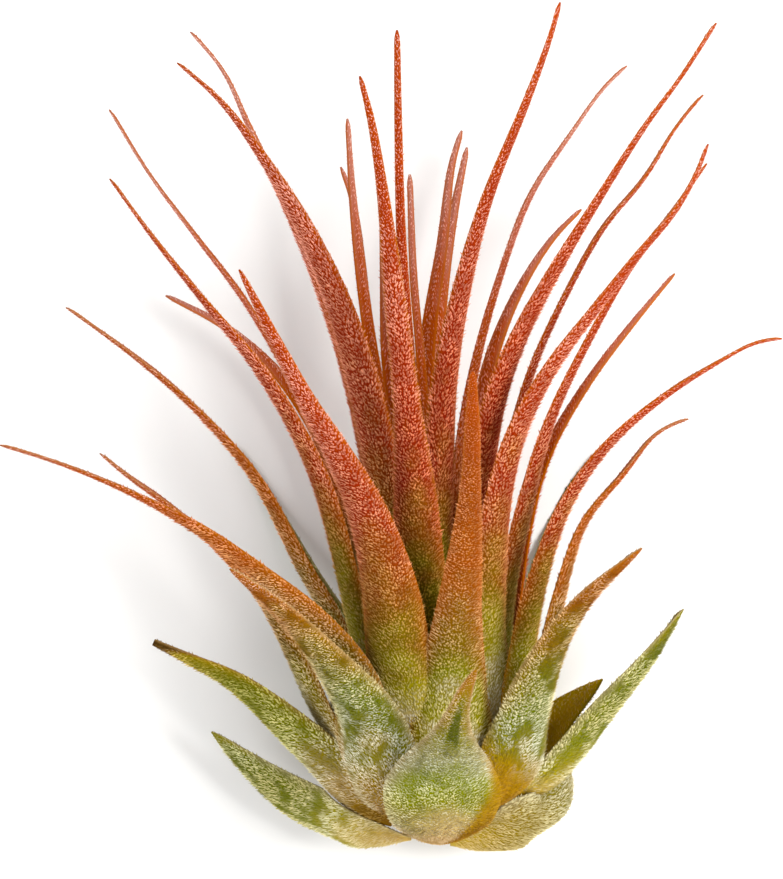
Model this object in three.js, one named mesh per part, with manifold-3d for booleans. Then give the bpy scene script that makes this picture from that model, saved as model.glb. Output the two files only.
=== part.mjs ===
import * as THREE from 'three';
import Module from 'manifold-3d';

// A small air plant that lies on its side, in millimetres with +Z up. The origin is on the
// surface, in the middle of the flat spot that the bulb rests on. +Y runs along the plant from
// its foot to its tips, and +X is to the right of someone who looks straight down on it.

const wasm = await Module();
wasm.setup();

// The places below are measured from a point under the bulb's foot, and this is the flat spot
const REST_SPOT = new THREE.Vector3(0, 11.2, 0);

// The stem: a short peg inside the bulb, leaning up from the surface. Each of its rings has a
// height along it and the share of the radius that it keeps there.
const STEM_FOOT = new THREE.Vector3(-0.2, 0.9, 9.2);
const STEM_LEAN = 12;
const STEM_LENGTH = 11;
const STEM_RADIUS_FOOT = 3.0;
const STEM_RADIUS_TOP = 1.0;
const STEM_SIDES = 12;
const STEM_RINGS = [[0.4, 0.7], [0.7, 1], [5.5, 1], [10, 1], [STEM_LENGTH, 0.45]];

// The sheaths: each lies over those inside it, from the heart of the plant outwards. A leaf
// sits on the stem at its seat and swells out to its sheath's radius as it rises.
const HEART_RADIUS = 2.5;
const SHEATH_PITCH = 1.05;
const SEAT_TOP = 9.6;
const SEAT_FOOT = 0.6;
const SHEATH_FOOT_SHARE = 0.5;
const SHEATH_MIDDLE = 0.7;
const RISE_LEAST = 2.0;
const RISE_SHARE = 0.25;
const RISE_MIDDLE = 0.4;
const SWELL_MIDDLE = 0.65;

// Between these shares of its length a leaf turns its back towards the front or the rear of
// the plant, and keeps this share of its angle from there
const TURN_SHARE = 0.6;
const TURN_START = 0.05;
const TURN_END = 0.45;

// The leaf's own section: a channel that is thickest in the middle. The channel is half the
// angle that its arc takes up, in degrees.
const GAP = 0.3;
const THICK_SHEATH = 0.8;
const THICK_BLADE = 1.0;
const THICK_TIP = 0.62;
const THICK_EDGE = 0.62;
const CHANNEL = 52;
const CHANNEL_TIP = 30;
const CHANNEL_LEAST = 12;
const STATIONS = 14;
const ACROSS = 4;
const SMALLEST_WIDTH = 0.6;

// The surface that the plant lies on is Z = 0, and what would reach below it is flat there
const TRIM_SIZE = 200;

const FLUSHED = new THREE.MeshStandardMaterial({ color: 0xc9705a, roughness: 0.85, metalness: 0 });
const SILVERED = new THREE.MeshStandardMaterial({ color: 0x9aa77c, roughness: 0.9, metalness: 0 });
const DRIED = new THREE.MeshStandardMaterial({ color: 0xb39a77, roughness: 0.9, metalness: 0 });
const WOODY = new THREE.MeshStandardMaterial({ color: 0x8a6f52, roughness: 0.9, metalness: 0 });

// The leaves, from the heart outwards. "side" is where the leaf stands round the stem, in
// degrees from the right over the front (towards +Z) to the left. "sheath" is the greatest
// width in the bulb. The route runs from the bulb to the tip, each point with its X, Y and Z
// and the blade's width there. Some leaves also state what else follows from a rule: "face",
// the side that the back looks to along the whole leaf, "channel", that of the bulb end,
// "seat", the height on the stem, "start", the distance from the stem's axis there, "foot",
// the width there, and "rise" and "radius", where the sheath has its full width.
const LEAVES = [
  {
    name: 'heart_top_leaf', side: 100, sheath: 2.6, material: FLUSHED,
    route: [
      [-1.0, 20, 15.8, 2.0], [-1.8, 28, 18.0, 1.6], [-2.6, 41, 20.4, 1.1],
      [-3.1, 50, 21.4, 0.8], [-3.3, 58, 21.9, 0.65], [-3.4, 65.5, 22.0, 0.5],
    ],
  },
  {
    name: 'highest_leaf', side: 72, sheath: 2.8, material: FLUSHED,
    route: [
      [-0.2, 20, 17.5, 2.6], [-0.1, 29, 20.2, 2.5], [0.3, 37, 22.2, 2.2], [1.6, 44.5, 23.6, 1.7],
      [3.6, 52, 24.6, 1.2], [6.8, 60, 25.0, 0.85], [8.7, 65.2, 25.0, 0.55],
      [9.4, 67.7, 25.0, 0.35],
    ],
  },
  {
    name: 'heart_low_leaf', side: 262, sheath: 2.4, material: FLUSHED,
    route: [
      [-0.8, 20, 13.2, 1.8], [-1.1, 29, 14.6, 1.4], [-1.5, 39, 15.0, 0.8],
      [-2.1, 46, 14.7, 0.65], [-2.4, 54.1, 14.0, 0.45],
    ],
  },
  {
    name: 'heart_left_low_leaf', side: 222, sheath: 2.4, material: FLUSHED,
    route: [
      [-2.6, 20, 12.0, 1.9], [-3.6, 30, 12.6, 1.6], [-5.3, 39.5, 12.6, 1.2],
      [-6.2, 46, 12.2, 1.05], [-6.9, 52.5, 11.8, 0.7], [-7.3, 58.6, 11.4, 0.35],
    ],
  },
  {
    name: 'upper_right_thin_leaf', side: 28, sheath: 2.6, material: FLUSHED,
    route: [
      [1.7, 20, 14.8, 2.2], [1.5, 30, 16.4, 1.8], [2.6, 38.6, 17.0, 1.3], [4.8, 46.6, 17.0, 1.0],
      [7.1, 52.6, 16.7, 0.85], [10.4, 57.6, 16.3, 0.6], [12.8, 61.0, 16.0, 0.45],
      [14.8, 62.9, 15.8, 0.35],
    ],
  },
  {
    name: 'upper_left_thin_leaf', side: 152, sheath: 2.8, material: FLUSHED,
    route: [
      [-4.0, 20, 14.6, 2.4], [-5.6, 31, 16.4, 2.4], [-7.6, 39.6, 17.2, 2.2],
      [-10.1, 46.8, 17.4, 1.8], [-12.6, 52.6, 17.1, 1.3], [-15.3, 58.4, 16.6, 0.8],
      [-17.1, 62.4, 16.2, 0.55], [-19.8, 65.6, 16.0, 0.35],
    ],
  },
  {
    name: 'behind_top_leaf', side: 282, sheath: 2.6, material: FLUSHED,
    route: [
      [-0.5, 20, 11.0, 2.0], [-1.2, 31, 11.6, 1.6], [-1.0, 40.8, 11.2, 1.3],
      [0.2, 48.8, 10.3, 0.95], [0.9, 55, 9.4, 0.6], [1.7, 57.7, 9.0, 0.45],
    ],
  },
  {
    name: 'behind_left_twin_leaf', side: 206, sheath: 2.4, material: FLUSHED,
    route: [
      [-3.2, 20, 9.8, 1.6], [-4.0, 30, 10.2, 1.2], [-5.4, 40.5, 9.9, 0.9],
      [-6.1, 47, 9.6, 0.8], [-6.8, 52, 9.2, 0.6], [-7.8, 54.8, 9.0, 0.35],
    ],
  },
  {
    name: 'behind_tall_leaf', side: 240, sheath: 2.4, material: FLUSHED,
    route: [
      [-1.6, 20, 10.4, 1.9], [-2.6, 30, 10.8, 1.7], [-3.9, 39, 10.8, 1.6],
      [-4.2, 46, 10.4, 1.2], [-4.6, 51.6, 10.0, 0.4],
    ],
  },
  {
    name: 'upper_left_broad_leaf', side: 122, sheath: 3.4, material: FLUSHED,
    route: [
      [-3.2, 20, 17.2, 3.0], [-4.3, 28, 20.6, 3.1], [-5.9, 36, 23.6, 3.1], [-8.1, 43.6, 25.2, 2.7],
      [-11.0, 50.2, 25.6, 2.1], [-14.7, 56.4, 25.2, 1.2], [-17.5, 60.1, 24.8, 0.75],
      [-20.8, 63, 24.2, 0.35],
    ],
  },
  {
    name: 'right_under_thin_leaf', side: 2, sheath: 2.8, material: FLUSHED,
    route: [
      [3.9, 20, 14.0, 2.2], [5.0, 30, 15.6, 1.8], [7.2, 38.6, 16.4, 1.4], [10.0, 44.8, 16.3, 1.1],
      [13.0, 50.1, 15.8, 0.85], [16.2, 53.9, 15.3, 0.7], [18.7, 58.0, 14.8, 0.5],
      [20.9, 60.6, 14.4, 0.35],
    ],
  },
  {
    name: 'behind_far_leaf', side: 258, sheath: 3.0, material: FLUSHED,
    route: [
      [-0.3, 20, 8.4, 2.2], [-0.7, 31, 7.6, 1.8], [-0.2, 41.6, 6.2, 1.3],
      [1.0, 50.4, 4.8, 0.8], [2.2, 56.4, 3.8, 0.45],
    ],
  },
  {
    name: 'left_thin_leaf', side: 178, sheath: 3.0, material: FLUSHED,
    route: [
      [-5.6, 20, 12.4, 2.2], [-8.4, 29.6, 13.6, 1.8], [-11.1, 36.4, 14.0, 1.4],
      [-15.2, 43.7, 14.0, 1.0], [-19.7, 49.7, 13.7, 0.7], [-23.2, 54.4, 13.3, 0.5],
      [-26.3, 59.4, 13.0, 0.35],
    ],
  },
  {
    name: 'upper_right_front_leaf', side: 60, sheath: 3.6, material: FLUSHED,
    route: [
      [2.6, 20, 17.4, 2.6], [3.0, 28, 20.8, 2.6], [4.2, 35.4, 23.4, 2.2], [6.2, 41.0, 24.9, 1.9],
      [9.4, 47.0, 26.0, 1.5], [12.4, 52.0, 26.3, 1.05], [16.2, 58.0, 26.3, 0.7],
      [19.0, 61.8, 26.2, 0.5], [21.8, 66.1, 26.0, 0.35],
    ],
  },
  {
    name: 'behind_right_leaf', side: 318, sheath: 3.2, material: FLUSHED,
    route: [
      [2.2, 20, 10.6, 2.2], [2.6, 30, 10.4, 1.8], [3.9, 38.8, 9.4, 1.4], [6.0, 44.4, 8.2, 1.0],
      [8.9, 49.1, 7.0, 0.65], [11.3, 51.5, 6.2, 0.35],
    ],
  },
  {
    name: 'tall_front_leaf', side: 96, sheath: 5.0, material: FLUSHED,
    route: [
      [-1.0, 16, 17.8, 4.8], [-1.6, 21, 20.8, 4.3], [-2.0, 28, 24.6, 3.5],
      [-2.7, 36, 28.4, 2.2], [-3.6, 44, 31.0, 1.75], [-4.6, 53, 32.8, 0.95],
      [-5.5, 58.6, 33.6, 0.65], [-6.3, 61.7, 34.0, 0.35],
    ],
  },
  {
    name: 'behind_left_leaf', side: 216, sheath: 3.4, material: FLUSHED,
    route: [
      [-4.6, 20, 7.8, 2.2], [-8.2, 30.4, 6.2, 1.8], [-12.4, 37.6, 5.0, 1.3],
      [-16.8, 41.8, 4.2, 0.9], [-22.0, 44.6, 3.6, 0.45],
    ],
  },
  {
    name: 'left_edge_leaf', side: 154, sheath: 4.2, material: FLUSHED,
    route: [
      [-6.0, 14, 15.2, 3.4], [-7.4, 21.6, 17.6, 2.8], [-9.9, 30.4, 19.4, 2.5],
      [-14.0, 38, 20.2, 2.0], [-19.2, 44.6, 20.2, 1.05], [-22.4, 48.6, 19.8, 0.7],
      [-26.2, 53.8, 19.2, 0.35],
    ],
  },
  {
    name: 'right_second_leaf', side: 18, sheath: 3.8, material: FLUSHED,
    route: [
      [5.0, 18, 16.2, 2.6], [6.8, 28, 19.4, 2.0], [8.7, 34.6, 20.8, 1.5],
      [11.8, 41.1, 21.6, 1.2], [14.9, 46.5, 21.8, 0.95], [18.1, 50.8, 21.6, 0.65],
      [21.1, 55, 21.3, 0.35],
    ],
  },
  {
    name: 'right_upper_front_leaf', side: 48, sheath: 4.2, material: FLUSHED,
    route: [
      [3.9, 16.8, 18.8, 3.3], [4.5, 27, 23.4, 2.6], [6.0, 33.2, 25.6, 2.2], [8.8, 38.7, 27.1, 1.8],
      [11.9, 42.9, 27.8, 1.4], [15.8, 47.9, 28.2, 1.05], [18.6, 51.2, 28.3, 0.8],
      [20.3, 54.3, 28.3, 0.5], [21.1, 56.4, 28.2, 0.35],
    ],
  },
  {
    name: 'under_right_thin_leaf', side: 346, sheath: 3.8, material: FLUSHED,
    route: [
      [5.6, 16, 12.2, 2.3], [6.4, 24, 13.0, 1.9], [8.2, 31.2, 13.6, 1.45], [11.5, 37.2, 13.6, 1.05],
      [15.5, 42.5, 13.0, 0.75], [18.7, 46.3, 12.0, 0.35],
    ],
  },
  {
    name: 'rear_middle_leaf', side: 284, sheath: 4.0, material: FLUSHED,
    route: [
      [0.6, 17, 6.2, 2.6], [0.2, 25, 5.2, 2.2], [-0.2, 33, 4.2, 1.4], [-0.6, 38.6, 3.4, 0.5],
    ],
  },
  {
    name: 'left_arching_leaf', side: 170, sheath: 4.6, material: FLUSHED,
    route: [
      [-8.2, 17.4, 14.0, 3.2], [-11.0, 22.8, 15.2, 2.5], [-14.6, 29.8, 16.0, 1.9],
      [-19.4, 35.4, 15.8, 1.3], [-24.4, 39.7, 15.1, 0.75], [-29.8, 43.6, 14.2, 0.35],
    ],
  },
  {
    name: 'right_sweeping_leaf', side: 30, sheath: 4.6, material: FLUSHED,
    route: [
      [6.6, 15, 17.0, 3.0], [7.9, 22, 20.2, 2.2], [10.0, 27.9, 22.4, 1.8], [13.3, 32.6, 23.6, 1.45],
      [17.8, 36.5, 24.0, 1.05], [22.2, 39.3, 23.8, 0.6], [25.0, 40.8, 23.4, 0.4],
      [27.2, 41.1, 23.0, 0.3],
    ],
  },
  {
    name: 'front_left_broad_leaf', side: 112, sheath: 5.8, material: FLUSHED,
    route: [
      [-3.4, 14, 19.4, 5.6], [-4.1, 20.5, 23.6, 4.8], [-5.9, 27, 27.8, 3.6],
      [-8.3, 32, 31.0, 2.6], [-10.7, 36.2, 33.2, 1.8], [-12.8, 40.4, 34.8, 1.25],
      [-14.6, 44.0, 35.6, 0.85], [-15.8, 46.4, 36.0, 0.4],
    ],
  },
  {
    name: 'rear_left_leaf', side: 232, sheath: 4.4, material: SILVERED,
    route: [
      [-5.8, 14.6, 5.4, 3.0], [-9.2, 20.0, 3.2, 2.0], [-12.4, 25.8, 1.2, 1.3],
      [-14.9, 30.2, 0.2, 0.9], [-16.4, 32.2, 0.5, 0.4],
    ],
  },
  {
    name: 'front_centre_leaf', side: 82, sheath: 6.2, material: FLUSHED,
    route: [
      [1.1, 13, 19.4, 5.4], [1.4, 18, 22.6, 4.0], [2.0, 24, 28.2, 2.7],
      [2.4, 29.6, 34.8, 1.6], [2.5, 34, 40.0, 1.25], [2.5, 38.4, 45.4, 0.5],
    ],
  },
  {
    name: 'right_low_leaf', side: 4, radius: 7.6, sheath: 4.2, material: FLUSHED,
    route: [
      [8.4, 14, 12.4, 3.0], [9.6, 20.8, 13.6, 2.0], [11.4, 26.4, 14.0, 1.45],
      [14.7, 30.4, 13.7, 0.95], [17.2, 33.6, 13.0, 0.55], [19.8, 34.7, 12.2, 0.35],
    ],
  },
  {
    name: 'rear_right_leaf', side: 304, sheath: 4.6, material: SILVERED,
    route: [
      [5.2, 15, 4.6, 3.0], [7.4, 20.4, 2.4, 2.0], [9.0, 25.6, 0.6, 1.3],
      [10.9, 29.6, 0.2, 0.9], [12.6, 31.8, 0.5, 0.4],
    ],
  },
  {
    name: 'longest_left_leaf', side: 142, radius: 7.8, sheath: 4.2, material: FLUSHED,
    route: [
      [-6.8, 13.6, 18.4, 4.4], [-10.6, 19.0, 21.8, 3.2], [-14.4, 22.2, 23.8, 2.6],
      [-19.2, 25.8, 24.8, 1.9], [-24.8, 28.9, 24.6, 0.9], [-30.4, 31.2, 23.8, 0.55],
      [-35.0, 32.6, 23.0, 0.4],
    ],
  },
  {
    name: 'rear_short_leaf', side: 272, sheath: 5.2, material: SILVERED,
    route: [
      [-1.2, 15, 3.6, 3.6], [-1.8, 23, 2.4, 2.6], [-2.4, 31, 1.8, 0.5],
    ],
  },
  {
    name: 'left_under_leaf', side: 172, radius: 7.4, sheath: 5.2, material: FLUSHED,
    route: [
      [-9.7, 11, 12.0, 4.0], [-11.7, 15.6, 13.0, 3.1], [-14.4, 20.6, 13.6, 2.2],
      [-18.4, 25.0, 13.4, 1.5], [-22.0, 28.0, 12.8, 1.0], [-25.2, 30.3, 12.2, 0.65],
      [-27.1, 31.9, 11.8, 0.35],
    ],
  },
  {
    name: 'front_right_leaf', side: 48, sheath: 6.4, material: SILVERED,
    route: [
      [6.6, 9.4, 18.4, 5.2], [8.0, 14.0, 21.4, 3.9], [9.9, 18.0, 24.8, 2.7],
      [12.1, 20.9, 27.2, 1.9], [14.3, 22.9, 28.8, 1.2], [15.9, 24.4, 29.8, 0.4],
    ],
  },
  {
    name: 'green_right_leaf', side: 350, face: 24, channel: 78, rise: 0.7, radius: 6.4,
    sheath: 4.4, material: SILVERED,
    route: [
      [8.4, 5.0, 9.8, 4.6], [10.7, 7.2, 10.4, 5.0], [13.4, 10.8, 11.3, 4.6],
      [16.5, 14.8, 12.2, 3.4], [18.2, 17.5, 12.8, 2.0], [19.3, 19.4, 13.2, 0.4],
    ],
  },
  {
    name: 'front_left_leaf', side: 117, radius: 9.8, sheath: 5.8, material: SILVERED,
    route: [
      [-5.4, 9.2, 20.6, 5.8], [-6.6, 11.8, 23.4, 5.2], [-8.4, 14.4, 26.6, 4.0],
      [-10.4, 17.0, 30.0, 2.9], [-13.2, 19.9, 33.2, 2.0], [-16.6, 22.8, 36.0, 0.5],
    ],
  },
  {
    name: 'rear_low_left_leaf', side: 226, sheath: 5.6, material: SILVERED,
    route: [
      [-6.8, 11, 3.8, 4.0], [-8.0, 15, 2.4, 2.6], [-8.4, 19, 1.6, 0.6],
    ],
  },
  {
    name: 'dried_left_leaf', side: 170, face: 98, channel: 42, rise: 2.3, radius: 6.6,
    sheath: 4.0, material: DRIED,
    route: [
      [-9.2, 7.0, 12.1, 4.9], [-12.3, 9.8, 12.5, 4.5], [-15.0, 12.3, 12.3, 3.4],
      [-17.0, 13.8, 12.2, 2.6], [-19.4, 15.0, 12.0, 1.8], [-22.9, 16.7, 11.8, 0.9],
    ],
  },
  {
    name: 'rear_low_right_leaf', side: 325, sheath: 5.6, material: SILVERED,
    route: [
      [7.8, 7.8, 7.6, 4.4], [9.6, 10.3, 8.4, 3.8], [11.4, 12.2, 9.2, 2.2],
      [12.9, 13.7, 9.8, 0.5],
    ],
  },
  {
    name: 'lowest_right_leaf', side: 0, face: 90, channel: 34, seat: -0.2, start: 1.0,
    foot: 2.8, rise: 0.9, radius: 6.8, sheath: 7.6, material: SILVERED,
    route: [
      [8.6, 3.0, 8.3, 5.6], [9.6, 4.9, 8.2, 2.8], [10.2, 6.9, 8.3, 0.5],
    ],
  },
  {
    name: 'lowest_left_leaf', side: 190, face: 100, channel: 34, seat: 0.1, start: 2.1,
    foot: 1.4, rise: 0.1, radius: 7.4, sheath: 6.2, material: SILVERED,
    route: [
      [-9.3, 2.4, 6.8, 6.8], [-11.4, 3.5, 6.4, 6.1], [-13.4, 5.0, 6.2, 4.7],
      [-15.2, 6.6, 6.0, 3.2], [-16.9, 8.2, 6.0, 1.7], [-18.2, 9.5, 6.0, 0.4],
    ],
  },
  {
    name: 'rear_outer_leaf', side: 270, sheath: 8.4, material: SILVERED,
    route: [
      [-0.2, 9.0, 0.2, 5.0], [-0.2, 12.6, 0.3, 3.6], [-0.2, 16.4, 0.7, 2.2], [-0.2, 20, 1.2, 0.6],
    ],
  },
  {
    name: 'foot_front_leaf', side: 88, sheath: 9.6, material: SILVERED,
    route: [
      [0.4, 6.2, 22.6, 7.2], [0.6, 7.6, 24.8, 5.4], [0.9, 9.2, 27.2, 3.4],
      [1.3, 11.0, 29.6, 2.0], [1.9, 12.9, 31.6, 1.3], [2.8, 14.8, 33.6, 0.5],
    ],
  },
];

const radians = THREE.MathUtils.degToRad;
const AXIS = new THREE.Vector3(0, Math.cos(radians(STEM_LEAN)), Math.sin(radians(STEM_LEAN)));
const FRONT = new THREE.Vector3(0, -Math.sin(radians(STEM_LEAN)), Math.cos(radians(STEM_LEAN)));
const RIGHT = new THREE.Vector3(1, 0, 0);

// The direction away from the stem's axis at an angle round it
function outward(side) {
  const angle = radians(side);
  return RIGHT.clone().multiplyScalar(Math.cos(angle)).addScaledVector(FRONT, Math.sin(angle));
}

// A point at a height along the stem's axis and a distance out from it
function besideStem(height, radius, side) {
  return STEM_FOOT.clone().addScaledVector(AXIS, height).addScaledVector(outward(side), radius);
}

function stemRadius(height) {
  return THREE.MathUtils.lerp(STEM_RADIUS_FOOT, STEM_RADIUS_TOP, height / STEM_LENGTH);
}

// The angle between two sides, from 0 to 180 degrees
function apart(side, other) {
  const turn = Math.abs(side - other) % 360;
  return Math.min(turn, 360 - turn);
}

// Half the angle that a sheath of this width takes up at this radius
function reach(width, radius) {
  return THREE.MathUtils.radToDeg(Math.asin(Math.min(1, width / 2 / radius)));
}

// Each sheath's radius: just over the highest of the sheaths inside it that it covers
function sheathRadii(leaves) {
  const radii = [];
  for (const [i, leaf] of leaves.entries()) {
    let radius = HEART_RADIUS;
    for (let j = 0; j < i; j += 1) {
      const inner = leaves[j];
      const covered = reach(leaf.sheath, radii[j] + SHEATH_PITCH) + reach(inner.sheath, radii[j]);
      if (apart(leaf.side, inner.side) < covered) {
        radius = Math.max(radius, radii[j] + SHEATH_PITCH);
      }
    }
    radii.push(leaf.radius ?? radius);
  }
  return radii;
}

// A closed body over rings of points, each ring with an outer and an inner row
function skin(rings) {
  const across = rings[0].outer.length;
  const positions = [];
  for (const ring of rings) {
    for (const point of [...ring.outer, ...ring.inner]) {
      positions.push(point.x, point.y, point.z);
    }
  }
  const outer = (k, i) => k * 2 * across + i;
  const inner = (k, i) => (k * 2 + 1) * across + i;
  const faces = [];
  const quad = (a, b, c, d) => faces.push(a, b, c, a, c, d);
  const last = rings.length - 1;
  const edge = across - 1;
  for (let k = 0; k < last; k += 1) {
    for (let i = 0; i < edge; i += 1) {
      quad(outer(k, i), outer(k, i + 1), outer(k + 1, i + 1), outer(k + 1, i));
      quad(inner(k + 1, i + 1), inner(k, i + 1), inner(k, i), inner(k + 1, i));
    }
    quad(outer(k, 0), outer(k + 1, 0), inner(k + 1, 0), inner(k, 0));
    quad(outer(k, edge), inner(k, edge), inner(k + 1, edge), outer(k + 1, edge));
  }
  for (let i = 0; i < edge; i += 1) {
    quad(outer(0, i), inner(0, i), inner(0, i + 1), outer(0, i + 1));
    quad(outer(last, i), outer(last, i + 1), inner(last, i + 1), inner(last, i));
  }
  return solid(positions, faces);
}

function solid(positions, faces) {
  const mesh = new wasm.Mesh({
    numProp: 3,
    vertProperties: new Float32Array(positions),
    triVerts: new Uint32Array(faces),
  });
  return new wasm.Manifold(mesh);
}

// The points that a leaf passes, from its seat on the stem to its tip, with the width, the
// angle of the channel and the thickness at each
function spine(leaf, seat, radius) {
  const seatRadius = stemRadius(seat) + GAP + THICK_SHEATH / 2;
  const middleRadius = THREE.MathUtils.lerp(seatRadius, radius, SWELL_MIDDLE);
  const climb = leaf.rise ?? RISE_LEAST + RISE_SHARE * radius;
  const places = [
    besideStem(seat, leaf.start ?? seatRadius, leaf.side),
    besideStem(seat + RISE_MIDDLE * climb, middleRadius, leaf.side),
    besideStem(seat + climb, radius, leaf.side),
  ];
  const foot = leaf.foot ?? leaf.sheath * SHEATH_FOOT_SHARE;
  const widths = [foot, THREE.MathUtils.lerp(foot, leaf.sheath, SHEATH_MIDDLE), leaf.sheath];
  const sizes = [];
  const radii = [seatRadius, middleRadius, radius];
  for (const [k, width] of widths.entries()) {
    sizes.push(new THREE.Vector3(width, reach(width, radii[k]), THICK_SHEATH));
  }
  const last = leaf.route.length - 1;
  for (const [k, [x, y, z, width]] of leaf.route.entries()) {
    const share = k / last;
    const channel = THREE.MathUtils.lerp(leaf.channel ?? CHANNEL, CHANNEL_TIP, share * share);
    const thick = THREE.MathUtils.lerp(THICK_BLADE, THICK_TIP, share * share);
    places.push(new THREE.Vector3(x, y, z));
    sizes.push(new THREE.Vector3(width, channel, thick));
  }
  return { places, sizes };
}

// One leaf as a closed body, grown by some clearance on every side
function leafBody(leaf, seat, radius, clearance) {
  const { places, sizes } = spine(leaf, seat, radius);
  const line = new THREE.CatmullRomCurve3(places, false, 'centripetal');
  const size = new THREE.CatmullRomCurve3(sizes, false, 'centripetal');
  const pole = leaf.side < 180 ? 90 : 270;
  const turn = (TURN_SHARE - 1) * (leaf.side - pole);
  const rings = [];
  for (let k = 0; k < STATIONS; k += 1) {
    const t = line.getUtoTmapping(k / (STATIONS - 1));
    const along = line.getTangent(t);
    const middle = line.getPoint(t);
    if (k === 0) middle.addScaledVector(along, -clearance);
    if (k === STATIONS - 1) middle.addScaledVector(along, clearance);
    const share = k / (STATIONS - 1);
    const turned = leaf.side + turn * THREE.MathUtils.smoothstep(share, TURN_START, TURN_END);
    const inwards = AXIS.clone().sub(outward(leaf.face ?? turned));
    inwards.addScaledVector(along, -inwards.dot(along)).normalize();
    const sideways = inwards.clone().cross(along);
    const { x: wide, y: channel, z: thick } = size.getPoint(t);
    const width = Math.max(wide, SMALLEST_WIDTH);
    const half = radians(Math.max(channel, CHANNEL_LEAST));
    const curve = width / 2 / Math.sin(half);
    const ring = { outer: [], inner: [] };
    for (let i = 0; i < ACROSS; i += 1) {
      const place = (2 * i) / (ACROSS - 1) - 1;
      const spread = curve * Math.sin(half * place) + clearance * place;
      const back = curve * (1 - Math.cos(half * place)) - thick / 2;
      const edge = THREE.MathUtils.lerp(thick, Math.min(thick, THICK_EDGE), place * place);
      ring.outer.push(
        middle.clone().addScaledVector(sideways, spread).addScaledVector(inwards, back - clearance),
      );
      ring.inner.push(
        middle.clone().addScaledVector(sideways, spread)
          .addScaledVector(inwards, back + edge + clearance),
      );
    }
    rings.push(ring);
  }
  return skin(rings);
}

// The stem as a closed body of rings round its axis
function stemBody(clearance) {
  const positions = [];
  const faces = [];
  const last = STEM_RINGS.length - 1;
  for (const [k, [height, share]] of STEM_RINGS.entries()) {
    const radius = stemRadius(height) * share + clearance;
    let level = height;
    if (k === 0) level -= clearance;
    if (k === last) level += clearance;
    for (let i = 0; i < STEM_SIDES; i += 1) {
      const point = besideStem(level, radius, (360 * i) / STEM_SIDES);
      positions.push(point.x, point.y, point.z);
    }
  }
  const at = (k, i) => k * STEM_SIDES + (i % STEM_SIDES);
  for (let k = 0; k < last; k += 1) {
    for (let i = 0; i < STEM_SIDES; i += 1) {
      faces.push(at(k, i), at(k + 1, i), at(k + 1, i + 1), at(k, i), at(k + 1, i + 1), at(k, i + 1));
    }
  }
  for (let i = 1; i < STEM_SIDES - 1; i += 1) {
    faces.push(at(0, 0), at(0, i), at(0, i + 1));
    faces.push(at(last, 0), at(last, i + 1), at(last, i));
  }
  return solid(positions, faces);
}

// A block that fills all that is under the surface
function underSurface() {
  const half = TRIM_SIZE / 2;
  const positions = [];
  for (const z of [-half, 0]) {
    for (const [x, y] of [[-1, -1], [1, -1], [1, 1], [-1, 1]]) {
      positions.push(x * half, y * half, z);
    }
  }
  const faces = [0, 2, 1, 0, 3, 2, 4, 5, 6, 4, 6, 7];
  for (let i = 0; i < 4; i += 1) {
    const next = (i + 1) % 4;
    faces.push(i, next, next + 4, i, next + 4, i + 4);
  }
  return solid(positions, faces);
}

function largestBody(body) {
  const bodies = body.decompose();
  return bodies.reduce((best, each) => (each.volume() > best.volume() ? each : best));
}

function meshOf(body, name, material) {
  const { vertProperties, triVerts } = body.getMesh();
  const geometry = new THREE.BufferGeometry();
  geometry.setAttribute('position', new THREE.BufferAttribute(new Float32Array(vertProperties), 3));
  geometry.setIndex(new THREE.BufferAttribute(new Uint32Array(triVerts), 1));
  geometry.computeVertexNormals();
  const mesh = new THREE.Mesh(geometry, material);
  mesh.name = name;
  return mesh;
}

const plant = new THREE.Group();
plant.add(meshOf(stemBody(0), 'stem', WOODY));

const radii = sheathRadii(LEAVES);
const ground = underSurface();
const taken = [stemBody(GAP)];
for (const [i, leaf] of LEAVES.entries()) {
  const seat = leaf.seat ?? THREE.MathUtils.lerp(SEAT_TOP, SEAT_FOOT, i / (LEAVES.length - 1));
  let body = leafBody(leaf, seat, radii[i], 0).subtract(ground);
  for (const inner of taken) {
    body = body.subtract(inner);
  }
  plant.add(meshOf(largestBody(body), leaf.name, leaf.material));
  taken.push(leafBody(leaf, seat, radii[i], GAP));
}
plant.position.copy(REST_SPOT).negate();

export default plant;
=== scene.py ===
import math

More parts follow.
